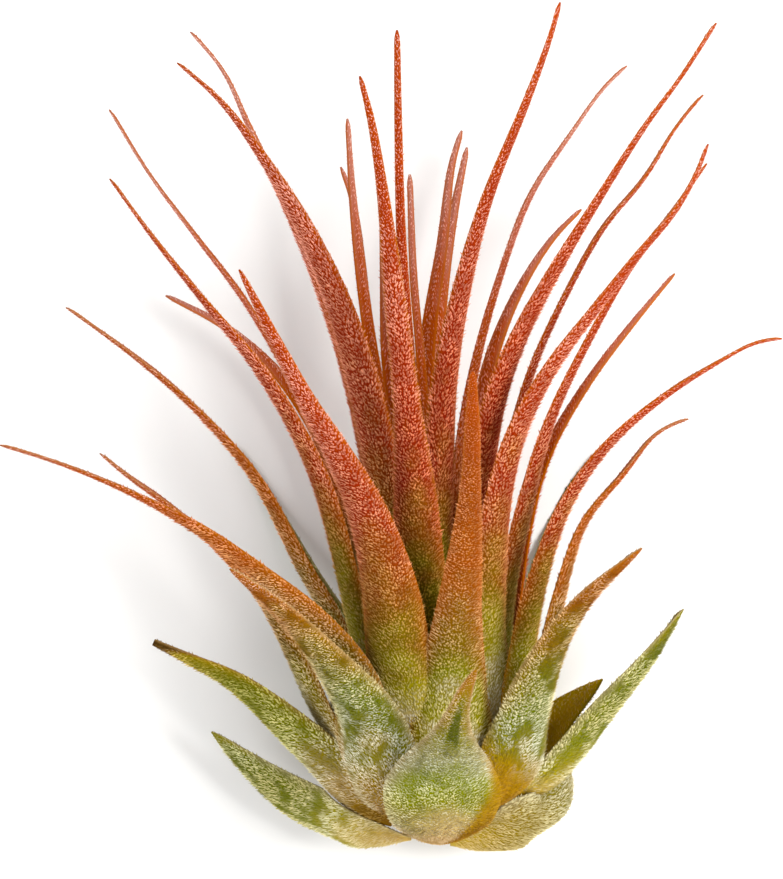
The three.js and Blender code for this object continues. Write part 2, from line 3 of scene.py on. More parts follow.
import bpy
import mathutils
import numpy as np
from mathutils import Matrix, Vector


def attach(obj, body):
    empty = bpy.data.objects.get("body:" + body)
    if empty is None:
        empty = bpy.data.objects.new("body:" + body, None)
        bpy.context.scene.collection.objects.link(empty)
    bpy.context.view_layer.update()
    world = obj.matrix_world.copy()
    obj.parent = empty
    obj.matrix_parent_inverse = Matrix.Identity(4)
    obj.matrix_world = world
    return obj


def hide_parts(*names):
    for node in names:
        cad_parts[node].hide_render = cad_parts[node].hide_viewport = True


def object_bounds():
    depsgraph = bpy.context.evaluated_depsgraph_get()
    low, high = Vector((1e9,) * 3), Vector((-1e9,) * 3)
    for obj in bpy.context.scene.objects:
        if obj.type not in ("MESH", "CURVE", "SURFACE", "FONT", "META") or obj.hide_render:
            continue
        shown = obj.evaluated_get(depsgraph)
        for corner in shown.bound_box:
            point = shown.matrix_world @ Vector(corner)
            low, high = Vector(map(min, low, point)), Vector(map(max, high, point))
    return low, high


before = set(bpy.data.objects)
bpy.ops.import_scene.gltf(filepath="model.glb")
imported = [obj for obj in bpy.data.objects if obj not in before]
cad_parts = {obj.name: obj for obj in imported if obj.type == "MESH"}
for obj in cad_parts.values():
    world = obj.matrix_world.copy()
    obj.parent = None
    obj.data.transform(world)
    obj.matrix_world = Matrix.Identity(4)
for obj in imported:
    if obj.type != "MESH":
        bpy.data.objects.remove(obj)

# A small air plant that lies on its side on a pale floor, seen from straight above. Sizes are
# in millimetres here and become metres where a mesh is made. The leaves follow the same
# curves as the model's solids, with many more points, thin margins and a felt of fine scales.

BOX_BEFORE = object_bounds()
METRES = 0.001
SEED = 7

# Places are measured from a point under the bulb's foot, and this is the frame's origin there
REST_SPOT = np.array([0.0, 11.2, 0.0])

# The stem: its foot, its lean from the floor in degrees, and its length and radii
STEM_FOOT = np.array([-0.2, 0.9, 9.2])
STEM_LEAN = 12
STEM_LENGTH = 11
STEM_RADIUS_FOOT = 3.0
STEM_RADIUS_TOP = 1.0

# The stem's own detail: rings of old sheath scars round a rough peg with rounded ends
STEM_AROUND = 40
STEM_RINGS = 36
STEM_START = 0.4
STEM_ENDS = 1.6
STEM_END_SHARE = 0.5
SCARS = 9
SCAR_DEPTH = 0.07
ROUGHNESS = 0.04

# The sheaths: each lies over those inside it. A leaf sits on the stem at its seat and swells
# out to its sheath's radius as it rises.
HEART_RADIUS = 2.5
SHEATH_PITCH = 1.05
SEAT_TOP = 9.6
SEAT_FOOT = 0.6
SEAT_CLEARANCE = 0.7
SHEATH_FOOT_SHARE = 0.5
SHEATH_MIDDLE = 0.7
RISE_LEAST = 2.0
RISE_SHARE = 0.25
RISE_MIDDLE = 0.4
SWELL_MIDDLE = 0.65

# Between these shares of its length a leaf turns its back towards the front or the rear of
# the plant, and keeps this share of its angle from there
TURN_SHARE = 0.6
TURN_START = 0.05
TURN_END = 0.45

# The leaf's section: a channel, whose solid has these thicknesses, and half the angle that
# its arc takes up
THICK_SHEATH = 0.8
THICK_BLADE = 1.0
THICK_TIP = 0.62
CHANNEL = 52
CHANNEL_TIP = 30
CHANNEL_LEAST = 12

# The leaf as it really is: thinner than its solid, with fine margins. It rounds off at its
# tip over TIP_LENGTH, and where it states a foot also there, and is no narrower elsewhere
# than LEAST_WIDTH.
FLESH = 0.5
FLESH_SHARE = 0.55
MARGIN = 0.14
TIP_LENGTH = 0.7
TIP_LEAST = 0.12
FOOT_LENGTH = 2.4
FOOT_LEAST = 0.1
LEAST_WIDTH = 0.5

# How finely a leaf is made: the distance between its stations, the points across each face,
# the samples that measure its curve, and the rounds that ease its kinks
STATION_PITCH = 0.55
ACROSS = 9
CURVE_SAMPLES = 600
EASE_ROUNDS = 6

# The scales: small pointed granules in rows, longer than wide, with their tips lifted. They
# turn at random, and towards the margins outwards. TAIL and SIDE are how pale they are there,
# next to their tips' 1.
SCALE_ROW = 0.235
SCALE_COLUMN = 0.175
SCALE_LENGTH = 0.38
SCALE_WIDTH = 0.155
SCALE_WAIST = 0.125
SCALE_SIZES = (0.7, 1.25)
SCALE_SUNK = 0.03
SCALE_LIFT = 0.16
SCALE_LIFTS = (0.5, 1.3)
SCALE_TURN = 22
SCALE_SPREAD = 34
SCALE_WIDE_BLADE = 1.6
SCALE_SMALLEST = 0.7
SCALE_TAIL = 0.1
SCALE_SIDE = 0.7

# The felt of scales starts at this share of a leaf's length, and is this much thinner inside
BARE = 0.04
INNER_FELT = 0.45


def leaf(name, paint, slot="flushed_leaf", **facts):
    return {"name": name, "slot": slot, "paint": paint, **facts}


# The leaves, from the heart outwards. "side" is where the leaf stands round the stem, in
# degrees from the right over the front (towards +Z) to the left. "sheath" is the greatest
# width in the bulb. The route runs from the bulb to the tip, each point with its X, Y and Z
# and the blade's width there. "greens" and "turns" are the shares of the length where the
# pale sheath gives way to green, and green to the flushed colour, and "felt" is how much of
# the usual felt of scales it has. "amber" is the share of the length up to which the base is
# clear amber, which is -1 for nowhere, and how much further that reaches at one margin than
# in the middle. A "blunt" leaf has lost its tip. Some leaves also state what else follows
# from a rule: "face", the side that the back looks to along the whole leaf, "channel", that
# of the bulb end, "seat", the height on the stem, "start", the distance from the stem's axis
# there, "foot", the width there, and "rise" and "radius", where the sheath has its full width.
LEAVES = [
    leaf("heart_top_leaf", "coral",
         side=100, sheath=2.6, greens=0.2, turns=0.36,
         route=[
            (-1.0, 20, 15.8, 2.0), (-1.8, 28, 18.0, 1.6), (-2.6, 41, 20.4, 1.1),
            (-3.1, 50, 21.4, 0.8), (-3.3, 58, 21.9, 0.65), (-3.4, 65.5, 22.0, 0.5),
         ]),
    leaf("highest_leaf", "rose",
         side=72, sheath=2.8, greens=0.2, turns=0.34,
         route=[
            (-0.2, 20, 17.5, 2.6), (-0.1, 29, 20.2, 2.5), (0.3, 37, 22.2, 2.2),
            (1.6, 44.5, 23.6, 1.7), (3.6, 52, 24.6, 1.2), (6.8, 60, 25.0, 0.85),
            (8.7, 65.2, 25.0, 0.55), (9.4, 67.7, 25.0, 0.35),
         ]),
    leaf("heart_low_leaf", "ember",
         side=262, sheath=2.4,
         route=[
            (-0.8, 20, 13.2, 1.8), (-1.1, 29, 14.6, 1.4), (-1.5, 39, 15.0, 0.8),
            (-2.1, 46, 14.7, 0.65), (-2.4, 54.1, 14.0, 0.45),
         ]),
    leaf("heart_left_low_leaf", "ember",
         side=222, sheath=2.4,
         route=[
            (-2.6, 20, 12.0, 1.9), (-3.6, 30, 12.6, 1.6), (-5.3, 39.5, 12.6, 1.2),
            (-6.2, 46, 12.2, 1.05), (-6.9, 52.5, 11.8, 0.7), (-7.3, 58.6, 11.4, 0.35),
         ]),
    leaf("upper_right_thin_leaf", "ember",
         side=28, sheath=2.6, greens=0.2, turns=0.36,
         route=[
            (1.7, 20, 14.8, 2.2), (1.5, 30, 16.4, 1.8), (2.6, 38.6, 17.0, 1.3),
            (4.8, 46.6, 17.0, 1.0), (7.1, 52.6, 16.7, 0.85), (10.4, 57.6, 16.3, 0.6),
            (12.8, 61.0, 16.0, 0.45), (14.8, 62.9, 15.8, 0.35),
         ]),
    leaf("upper_left_thin_leaf", "ember",
         side=152, sheath=2.8, greens=0.2, turns=0.36,
         route=[
            (-4.0, 20, 14.6, 2.4), (-5.6, 31, 16.4, 2.4), (-7.6, 39.6, 17.2, 2.2),
            (-10.1, 46.8, 17.4, 1.8), (-12.6, 52.6, 17.1, 1.3), (-15.3, 58.4, 16.6, 0.8),
            (-17.1, 62.4, 16.2, 0.55), (-19.8, 65.6, 16.0, 0.35),
         ]),
    leaf("behind_top_leaf", "ember",
         side=282, sheath=2.6,
         route=[
            (-0.5, 20, 11.0, 2.0), (-1.2, 31, 11.6, 1.6), (-1.0, 40.8, 11.2, 1.3),
            (0.2, 48.8, 10.3, 0.95), (0.9, 55, 9.4, 0.6), (1.7, 57.7, 9.0, 0.45),
         ]),
    leaf("behind_left_twin_leaf", "ember",
         side=206, sheath=2.4,
         route=[
            (-3.2, 20, 9.8, 1.6), (-4.0, 30, 10.2, 1.2), (-5.4, 40.5, 9.9, 0.9),
            (-6.1, 47, 9.6, 0.8), (-6.8, 52, 9.2, 0.6), (-7.8, 54.8, 9.0, 0.35),
         ]),
    leaf("behind_tall_leaf", "ember",
         side=240, sheath=2.4,
         route=[
            (-1.6, 20, 10.4, 1.9), (-2.6, 30, 10.8, 1.7), (-3.9, 39, 10.8, 1.6),
            (-4.2, 46, 10.4, 1.2), (-4.6, 51.6, 10.0, 0.4),
         ]),
    leaf("upper_left_broad_leaf", "coral",
         side=122, sheath=3.4, greens=0.28, turns=0.40,
         route=[
            (-3.2, 20, 17.2, 3.0), (-4.3, 28, 20.6, 3.1), (-5.9, 36, 23.6, 3.1),
            (-8.1, 43.6, 25.2, 2.7), (-11.0, 50.2, 25.6, 2.1), (-14.7, 56.4, 25.2, 1.2),
            (-17.5, 60.1, 24.8, 0.75), (-20.8, 63, 24.2, 0.35),
         ]),
    leaf("right_under_thin_leaf", "coral",
         side=2, sheath=2.8, greens=0.2, turns=0.36,
         route=[
            (3.9, 20, 14.0, 2.2), (5.0, 30, 15.6, 1.8), (7.2, 38.6, 16.4, 1.4),
            (10.0, 44.8, 16.3, 1.1), (13.0, 50.1, 15.8, 0.85), (16.2, 53.9, 15.3, 0.7),
            (18.7, 58.0, 14.8, 0.5), (20.9, 60.6, 14.4, 0.35),
         ]),
    leaf("behind_far_leaf", "ember",
         side=258, sheath=3.0,
         route=[
            (-0.3, 20, 8.4, 2.2), (-0.7, 31, 7.6, 1.8), (-0.2, 41.6, 6.2, 1.3),
            (1.0, 50.4, 4.8, 0.8), (2.2, 56.4, 3.8, 0.45),
         ]),
    leaf("left_thin_leaf", "ember",
         side=178, sheath=3.0, greens=0.24, turns=0.40,
         route=[
            (-5.6, 20, 12.4, 2.2), (-8.4, 29.6, 13.6, 1.8), (-11.1, 36.4, 14.0, 1.4),
            (-15.2, 43.7, 14.0, 1.0), (-19.7, 49.7, 13.7, 0.7), (-23.2, 54.4, 13.3, 0.5),
            (-26.3, 59.4, 13.0, 0.35),
         ]),
    leaf("upper_right_front_leaf", "scarlet",
         side=60, sheath=3.6, greens=0.2, turns=0.33,
         route=[
            (2.6, 20, 17.4, 2.6), (3.0, 28, 20.8, 2.6), (4.2, 35.4, 23.4, 2.2),
            (6.2, 41.0, 24.9, 1.9), (9.4, 47.0, 26.0, 1.5), (12.4, 52.0, 26.3, 1.05),
            (16.2, 58.0, 26.3, 0.7), (19.0, 61.8, 26.2, 0.5), (21.8, 66.1, 26.0, 0.35),
         ]),
    leaf("behind_right_leaf", "scarlet",
         side=318, sheath=3.2, greens=0.2, turns=0.36,
         route=[
            (2.2, 20, 10.6, 2.2), (2.6, 30, 10.4, 1.8), (3.9, 38.8, 9.4, 1.4),
            (6.0, 44.4, 8.2, 1.0), (8.9, 49.1, 7.0, 0.65), (11.3, 51.5, 6.2, 0.35),
         ]),
    leaf("tall_front_leaf", "rose",
         side=96, sheath=5.0, greens=0.22, turns=0.40,
         route=[
            (-1.0, 16, 17.8, 4.8), (-1.6, 21, 20.8, 4.3), (-2.0, 28, 24.6, 3.5),
            (-2.7, 36, 28.4, 2.2), (-3.6, 44, 31.0, 1.75), (-4.6, 53, 32.8, 0.95),
            (-5.5, 58.6, 33.6, 0.65), (-6.3, 61.7, 34.0, 0.35),
         ]),
    leaf("behind_left_leaf", "ember",
         side=216, sheath=3.4,
         route=[
            (-4.6, 20, 7.8, 2.2), (-8.2, 30.4, 6.2, 1.8), (-12.4, 37.6, 5.0, 1.3),
            (-16.8, 41.8, 4.2, 0.9), (-22.0, 44.6, 3.6, 0.45),
         ]),
    leaf("left_edge_leaf", "coral",
         side=154, sheath=4.2, greens=0.26, turns=0.46,
         route=[
            (-6.0, 14, 15.2, 3.4), (-7.4, 21.6, 17.6, 2.8), (-9.9, 30.4, 19.4, 2.5),
            (-14.0, 38, 20.2, 2.0), (-19.2, 44.6, 20.2, 1.05), (-22.4, 48.6, 19.8, 0.7),
            (-26.2, 53.8, 19.2, 0.35),
         ]),
    leaf("right_second_leaf", "coral",
         side=18, sheath=3.8, greens=0.21, turns=0.42,
         route=[
            (5.0, 18, 16.2, 2.6), (6.8, 28, 19.4, 2.0), (8.7, 34.6, 20.8, 1.5),
            (11.8, 41.1, 21.6, 1.2), (14.9, 46.5, 21.8, 0.95), (18.1, 50.8, 21.6, 0.65),
            (21.1, 55, 21.3, 0.35),
         ]),
    leaf("right_upper_front_leaf", "coral",
         side=48, sheath=4.2, greens=0.24, turns=0.40,
         route=[
            (3.9, 16.8, 18.8, 3.3), (4.5, 27, 23.4, 2.6), (6.0, 33.2, 25.6, 2.2),
            (8.8, 38.7, 27.1, 1.8), (11.9, 42.9, 27.8, 1.4), (15.8, 47.9, 28.2, 1.05),
            (18.6, 51.2, 28.3, 0.8), (20.3, 54.3, 28.3, 0.5), (21.1, 56.4, 28.2, 0.35),
         ]),
    leaf("under_right_thin_leaf", "scarlet",
         side=346, sheath=3.8, greens=0.2, turns=0.38,
         route=[
            (5.6, 16, 12.2, 2.3), (6.4, 24, 13.0, 1.9), (8.2, 31.2, 13.6, 1.45),
            (11.5, 37.2, 13.6, 1.05), (15.5, 42.5, 13.0, 0.75), (18.7, 46.3, 12.0, 0.35),
         ]),
    leaf("rear_middle_leaf", "lime",
         side=284, sheath=4.0,
         route=[
            (0.6, 17, 6.2, 2.6), (0.2, 25, 5.2, 2.2), (-0.2, 33, 4.2, 1.4),
            (-0.6, 38.6, 3.4, 0.5),
         ]),
    leaf("left_arching_leaf", "ochre",
         side=170, sheath=4.6, greens=0.28, turns=0.48,
         route=[
            (-8.2, 17.4, 14.0, 3.2), (-11.0, 22.8, 15.2, 2.5), (-14.6, 29.8, 16.0, 1.9),
            (-19.4, 35.4, 15.8, 1.3), (-24.4, 39.7, 15.1, 0.75), (-29.8, 43.6, 14.2, 0.35),
         ]),
    leaf("right_sweeping_leaf", "coral",
         side=30, sheath=4.6, greens=0.28, turns=0.50,
         route=[
            (6.6, 15, 17.0, 3.0), (7.9, 22, 20.2, 2.2), (10.0, 27.9, 22.4, 1.8),
            (13.3, 32.6, 23.6, 1.45), (17.8, 36.5, 24.0, 1.05), (22.2, 39.3, 23.8, 0.6),
            (25.0, 40.8, 23.4, 0.4), (27.2, 41.1, 23.0, 0.3),
         ]),
    leaf("front_left_broad_leaf", "coral",
         side=112, sheath=5.8, greens=0.25, turns=0.48,
         route=[
            (-3.4, 14, 19.4, 5.6), (-4.1, 20.5, 23.6, 4.8), (-5.9, 27, 27.8, 3.6),
            (-8.3, 32, 31.0, 2.6), (-10.7, 36.2, 33.2, 1.8), (-12.8, 40.4, 34.8, 1.25),
            (-14.6, 44.0, 35.6, 0.85), (-15.8, 46.4, 36.0, 0.4),
         ]),
    leaf("rear_left_leaf", "lime", "silvered_leaf",
         side=232, sheath=4.4,
         route=[
            (-5.8, 14.6, 5.4, 3.0), (-9.2, 20.0, 3.2, 2.0), (-12.4, 25.8, 1.2, 1.3),
            (-14.9, 30.2, 0.2, 0.9), (-16.4, 32.2, 0.5, 0.4),
         ]),
    leaf("front_centre_leaf", "salmon",
         side=82, sheath=6.2, greens=0.28, turns=0.46,
         route=[
            (1.1, 13, 19.4, 5.4), (1.4, 18, 22.6, 4.0), (2.0, 24, 28.2, 2.7),
            (2.4, 29.6, 34.8, 1.6), (2.5, 34, 40.0, 1.25), (2.5, 38.4, 45.4, 0.5),
         ]),
    leaf("right_low_leaf", "ochre",
         side=4, radius=7.6, sheath=4.2, greens=0.35, turns=0.55,
         route=[
            (8.4, 14, 12.4, 3.0), (9.6, 20.8, 13.6, 2.0), (11.4, 26.4, 14.0, 1.45),
            (14.7, 30.4, 13.7, 0.95), (17.2, 33.6, 13.0, 0.55), (19.8, 34.7, 12.2, 0.35),
         ]),
    leaf("rear_right_leaf", "lime", "silvered_leaf",
         side=304, sheath=4.6,
         route=[
            (5.2, 15, 4.6, 3.0), (7.4, 20.4, 2.4, 2.0), (9.0, 25.6, 0.6, 1.3),
            (10.9, 29.6, 0.2, 0.9), (12.6, 31.8, 0.5, 0.4),
         ]),
    leaf("longest_left_leaf", "ochre",
         side=142, sheath=4.2, radius=7.8, greens=0.27, turns=0.48,
         route=[
            (-6.8, 13.6, 18.4, 4.4), (-10.6, 19.0, 21.8, 3.2), (-14.4, 22.2, 23.8, 2.6),
            (-19.2, 25.8, 24.8, 1.9), (-24.8, 28.9, 24.6, 0.9), (-30.4, 31.2, 23.8, 0.55),
            (-35.0, 32.6, 23.0, 0.4),
         ]),
    leaf("rear_short_leaf", "lime", "silvered_leaf",
         side=272, sheath=5.2,
         route=[
            (-1.2, 15, 3.6, 3.6), (-1.8, 23, 2.4, 2.6), (-2.4, 31, 1.8, 0.5),
         ]),
    leaf("left_under_leaf", "ochre",
         side=172, sheath=5.2, radius=7.4, greens=0.35, turns=0.55,
         route=[
            (-9.7, 11, 12.0, 4.0), (-11.7, 15.6, 13.0, 3.1), (-14.4, 20.6, 13.6, 2.2),
            (-18.4, 25.0, 13.4, 1.5), (-22.0, 28.0, 12.8, 1.0), (-25.2, 30.3, 12.2, 0.65),
            (-27.1, 31.9, 11.8, 0.35),
         ]),
    leaf("front_right_leaf", "silver", "silvered_leaf",
         side=48, sheath=6.4, greens=0.33, turns=0.54, felt=1.4,
         amber=(0.25, -0.06),
         route=[
            (6.6, 9.4, 18.4, 5.2), (8.0, 14.0, 21.4, 3.9), (9.9, 18.0, 24.8, 2.7),
            (12.1, 20.9, 27.2, 1.9), (14.3, 22.9, 28.8, 1.2), (15.9, 24.4, 29.8, 0.4),
         ]),
    leaf("green_right_leaf", "lime", "silvered_leaf",
         side=350, face=24, channel=78, rise=0.7, radius=6.4, sheath=4.4, felt=1.2,
         amber=(0.2, 0),
         route=[
            (8.4, 5.0, 9.8, 4.6), (10.7, 7.2, 10.4, 5.0), (13.4, 10.8, 11.3, 4.6),
            (16.5, 14.8, 12.2, 3.4), (18.2, 17.5, 12.8, 2.0), (19.3, 19.4, 13.2, 0.4),
         ]),
    leaf("front_left_leaf", "silver", "silvered_leaf",
         side=117, sheath=5.8, radius=9.8, greens=0.38, turns=0.62, felt=1.4,
         route=[
            (-5.4, 9.2, 20.6, 5.8), (-6.6, 11.8, 23.4, 5.2), (-8.4, 14.4, 26.6, 4.0),
            (-10.4, 17.0, 30.0, 2.9), (-13.2, 19.9, 33.2, 2.0), (-16.6, 22.8, 36.0, 0.5),
         ]),
    leaf("rear_low_left_leaf", "lime", "silvered_leaf",
         side=226, sheath=5.6,
         route=[
            (-6.8, 11, 3.8, 4.0), (-8.0, 15, 2.4, 2.6), (-8.4, 19, 1.6, 0.6),
         ]),
    leaf("dried_left_leaf", "dried", "dried_leaf",
         side=170, face=98, channel=42, rise=2.3, radius=6.6, sheath=4.0, blunt=True,
         greens=0.3, turns=0.5, amber=(-1, 0),
         route=[
            (-9.2, 7.0, 12.1, 4.9), (-12.3, 9.8, 12.5, 4.5), (-15.0, 12.3, 12.3, 3.4),
            (-17.0, 13.8, 12.2, 2.6), (-19.4, 15.0, 12.0, 1.8), (-22.9, 16.7, 11.8, 0.9),
         ]),
    # This leaf lies in the shade of the leaves over it, and its paint is painted light, lighter than
    # the real leaf
    leaf("rear_low_right_leaf", "shaded", "silvered_leaf",
         side=325, sheath=5.6,
         route=[
            (7.8, 7.8, 7.6, 4.4), (9.6, 10.3, 8.4, 3.8), (11.4, 12.2, 9.2, 2.2),
            (12.9, 13.7, 9.8, 0.5),
         ]),
    leaf("lowest_right_leaf", "cream", "silvered_leaf",
         side=0, face=90, channel=34, seat=-0.2, start=1.0, foot=2.8, rise=0.9, radius=6.8,
         sheath=7.6, felt=1.3, amber=(-1, 0),
         route=[
            (8.6, 3.0, 8.3, 5.6), (9.6, 4.9, 8.2, 2.8), (10.2, 6.9, 8.3, 0.5),
         ]),
    leaf("lowest_left_leaf", "lime", "silvered_leaf",
         side=190, face=100, channel=34, seat=0.1, start=2.1, foot=1.4, rise=0.1, radius=7.4,
         sheath=6.2, felt=1.2, amber=(-1, 0),
         route=[
            (-9.3, 2.4, 6.8, 6.8), (-11.4, 3.5, 6.4, 6.1), (-13.4, 5.0, 6.2, 4.7),
            (-15.2, 6.6, 6.0, 3.2), (-16.9, 8.2, 6.0, 1.7), (-18.2, 9.5, 6.0, 0.4),
         ]),
    leaf("rear_outer_leaf", "lime", "silvered_leaf",
         side=270, sheath=8.4,
         route=[
            (-0.2, 9.0, 0.2, 5.0), (-0.2, 12.6, 0.3, 3.6), (-0.2, 16.4, 0.7, 2.2),
            (-0.2, 20, 1.2, 0.6),
         ]),
    leaf("foot_front_leaf", "foot", "silvered_leaf",
         side=88, sheath=9.6, felt=1.5,
         amber=(-0.02, 0.5),
         route=[
            (0.4, 6.2, 22.6, 7.2), (0.6, 7.6, 24.8, 5.4), (0.9, 9.2, 27.2, 3.4),
            (1.3, 11.0, 29.6, 2.0), (1.9, 12.9, 31.6, 1.3), (2.8, 14.8, 33.6, 0.5),
         ]),
]

# How the shares of a leaf's length meet the paints' ramps, from the foot (0) to the tip (1):
# the pale sheath gives way to green at PAINT_GREENS, and green to the flushed colour at
# PAINT_TURNS. A leaf that doesn't say where has them at GREENS and TURNS.
GREENS = 0.3
TURNS = 0.5
PAINT_GREENS = 0.3
PAINT_TURNS = 0.55

# Where the clear amber of a base ends if the leaf doesn't say, the length over which it fades
# on either side, and how far apart the patterns of two leaves are taken from
AMBER_END = 0.04
AMBER_FADE = 0.06
LEAF_OFFSET = 7.3

# Paints: the colours of the leaf's skin and of its scales at these places along it.
# "margin" tints the thin edges, "inner" names the ramp of the inner face, and "patches" is
# how much of the pale colour goes in the worn patches. "base_shade" is how light the skin
# between the scales is at the base, where a paint says so, and "slit" how far the tip shows
# a green slit.
FLUSHED_PLACES = (0, 0.2, 0.3, 0.42, 0.52, 0.64, 0.82, 1)
PAINTS = {
    "coral": {
        "places": FLUSHED_PLACES,
        "skin": "#dcb470 #dcc890 #b4a82c #947004 #a04c04 #a82804 #b84428 #c86850",
        "scales": "#f8e8c4 #fcf8e4 #f4e08c #e4b45c #f0b068 #fcac80 #fcac90 #fcc4b4",
        "margin": "#e8a070",
        "inner": "flushed",
        "patches": 0.4,
    },
    "salmon": {
        "places": FLUSHED_PLACES,
        "skin": "#c89c50 #c0ac74 #909004 #987404 #b0640c #b8580c #b0501c #c05c34",
        "scales": "#f4e0b4 #fcf8e4 #f8e488 #fcd890 #fccc90 #fcb470 #f8a878 #f4a07c",
        "margin": "#e8a070",
        "inner": "flushed",
        "patches": 0.4,
    },
    "rose": {
        "places": FLUSHED_PLACES,
        "skin": "#c09c48 #b8b020 #a49c08 #8c7c04 #a05804 #9c2004 #b03c20 #c86850",
        "scales": "#f0e0b4 #f4ec94 #ecd848 #e4c04c #f0ac5c #fc986c #fcac90 #fcc4b4",
        "margin": "#e0a068",
        "inner": "flushed",
        "patches": 0.4,
    },
    "scarlet": {
        "places": FLUSHED_PLACES,
        "skin": "#c09838 #b8a828 #8c8408 #a07008 #b04c08 #a82404 #b44428 #cc7058",
        "scales": "#f0e0b4 #f0e49c #e8d058 #ecb850 #f4a054 #fc9464 #fcac90 #fcc8b8",
        "margin": "#e09460",
        "inner": "flushed",
        "patches": 0.4,
    },
    "ember": {
        "places": FLUSHED_PLACES,
        "skin": "#a87c28 #8c7c1c #6c5c08 #7c5408 #9c4408 #c46440 #d88470 #e4a898",
        "scales": "#e0c488 #c8b468 #b09c40 #b8843c #d48044 #f4a480 #fcb8a4 #fcd4c8",
        "margin": "#dc8450",
        "inner": "flushed",
        "patches": 0.2,
    },
    "ochre": {
        "places": FLUSHED_PLACES,
        "skin": "#c89c50 #c8b07c #8c7c1c #6c4c04 #a0600c #b05410 #b85424 #c07860",
        "scales": "#f0e0b4 #fcf4d8 #f4e4a8 #f0d090 #f0c08c #f4ac6c #f0a078 #f4c0ac",
        "margin": "#e0a878",
        "inner": "flushed",
        "patches": 0.5,
    },
    "silver": {
        "places": (0, 0.12, 0.22, 0.32, 0.42, 0.55, 0.7, 0.85, 1),
        "skin": "#c08c24 #b88c3c #ac9850 #8c8c14 #788408 #887c04 #947014 #a45c18 #b87040",
        "scales": "#ecd098 #f0dcb4 #fcf0d0 #fcfce8 #fcf4c8 #fcf0bc #fcdca0 #f0b880 #f0c4a8",
        "margin": "#e8cca0",
        "inner": "green",
        "patches": 0.95,
    },
    "cream": {
        "places": (0, 0.3, 0.6, 0.85, 1),
        "skin": "#b09a5c #ac9448 #947c34 #90843c #b0a470",
        "scales": "#d0b478 #d8c084 #dcd09c #e0d8b4 #f4ecd4",
        "margin": "#f0e4c0",
        "inner": "green",
        "patches": 0.4,
        "base_shade": 0.85,
    },
    "lime": {
        "places": (0, 0.16, 0.3, 0.38, 0.5, 0.7, 0.9, 1),
        "skin": "#b89c68 #bca468 #c8b468 #b0a42c #8c9004 #707800 #6c7000 #8c8418",
        "scales": "#ccb890 #d4c090 #fcf0c4 #fcf8d0 #fcf0bc #e8dc98 #e8e4a8 #dcd498",
        "margin": "#ecdcb0",
        "inner": "green",
        "patches": 0.9,
        "base_shade": 0.85,
    },
    "foot": {
        "places": (0, 0.14, 0.26, 0.38, 0.48, 0.58, 0.74, 0.88, 1),
        "skin": "#d8bc90 #d4bc8c #c8b478 #8c9014 #949c30 #b8b47c #a09838 #a88c3c #b08048",
        "scales": "#ecdcbc #ecdcbc #f8f0d4 #e8e09c #f4f0c4 #fcfce8 #fcf4d8 #f8e0b0 #f0c898",
        "margin": "#f0d8b4",
        "inner": "green",
        "patches": 0.7,
        "base_shade": 0.85,
        "slit": 1.0,
    },
    # Painted light: the shaded paint is much lighter than the real leaf, to make up for the shade
    # that this leaf lies in under the leaves over it
    "shaded": {
        "places": (0, 0.2, 0.5, 0.8, 1),
        "skin": "#f0c030 #f4c838 #ecc030 #e8c040 #e0c060",
        "scales": "#fcdc8c #fce08c #fce08c #fce494 #fce8b0",
        "margin": "#a89850",
        "inner": "shaded",
        "patches": 0.3,
    },
    # The dried leaf's base is dark brown: partly the dried leaf's own colour, partly painted shade
    # of the crevice it lies in
    "dried": {
        "places": (0, 0.1, 0.22, 0.35, 0.5, 0.75, 0.92, 0.97, 1),
        "skin": "#80580c #8c6410 #c4a870 #a09040 #7c8008 #747404 #a08c18 #84602c #503818",
        "scales": "#c09848 #d0ac60 #fcf0d0 #fcf4d4 #f0e8a0 #ccc468 #e8c868 #ccb08c #947850",
        "margin": "#d0ac80",
        "inner": "green",
        "patches": 0.8,
    },
}

# The inner faces: places along the leaf and the colours there
INNER = {
    "flushed": (
        (0, 0.2, 0.32, 0.45, 0.55, 0.75, 1),
        "#c09434 #9c8424 #605c04 #784c04 #c06030 #d87858 #e4a090",
    ),
    # Painted light: the shaded inner face is painted much lighter than the real leaf, to make up for
    # the shade it lies in
    "shaded": (
        (0, 0.2, 0.6, 1),
        "#f0c030 #f4c838 #ecc038 #e0c060",
    ),
    "green": (
        (0, 0.2, 0.4, 0.7, 1),
        "#c09434 #a48c30 #686404 #706804 #806c20",
    ),
}

# The amber base, the green slit and the stem's bark
AMBER_SKIN = "#a87c14"
AMBER_SCALES = "#c49c4c"
SLIT_COLOUR = "#707408"
STEM_PLACES = (0, 0.5, 1)
STEM_COLOURS = "#3c2c1c #6c5234 #a08858"

# Sizes in the leaves' material, in millimetres, and how many cells there are in one of them
# across, along and between leaves
BLOTCH_SIZE = 3.0
FINE_SIZE = 0.25
GRAIN_DENSITY = (6.5, 2.6, 1.0)
PATCH_SIZE = 1.3
PATCH_STRETCH = (1.0, 0.55, 1.0)
PATCH_DETAIL = 3.0
BUMP_DEPTH = 0.05

# How far the blotches and the margins move a leaf's colours along it
BLOTCH_SHIFT = 0.06
RIM_SHIFT = 0.12
RIM_POWER = 2.0

# The levels of a noise between which something comes in
BLOTCH_BAND = (0.25, 0.75)
FINE_BAND = (0.3, 0.7)
CELL_BAND = (0.15, 0.6)
WORN_BAND = (0.47, 0.6)

# How much of each colour goes over the skin, how pale the scales are, from the darkest to
# the palest, and how much of that the amber and the slit take away
POWDER = 0.22
INNER_PART = 0.75
EDGE_PART = 0.6
EDGE_POWER = 6.0
AMBER_PART = 0.85
SCALE_PALENESS = (0.34, 1.16)
AMBER_WORN = 0.5
SLIT_WORN = 0.9

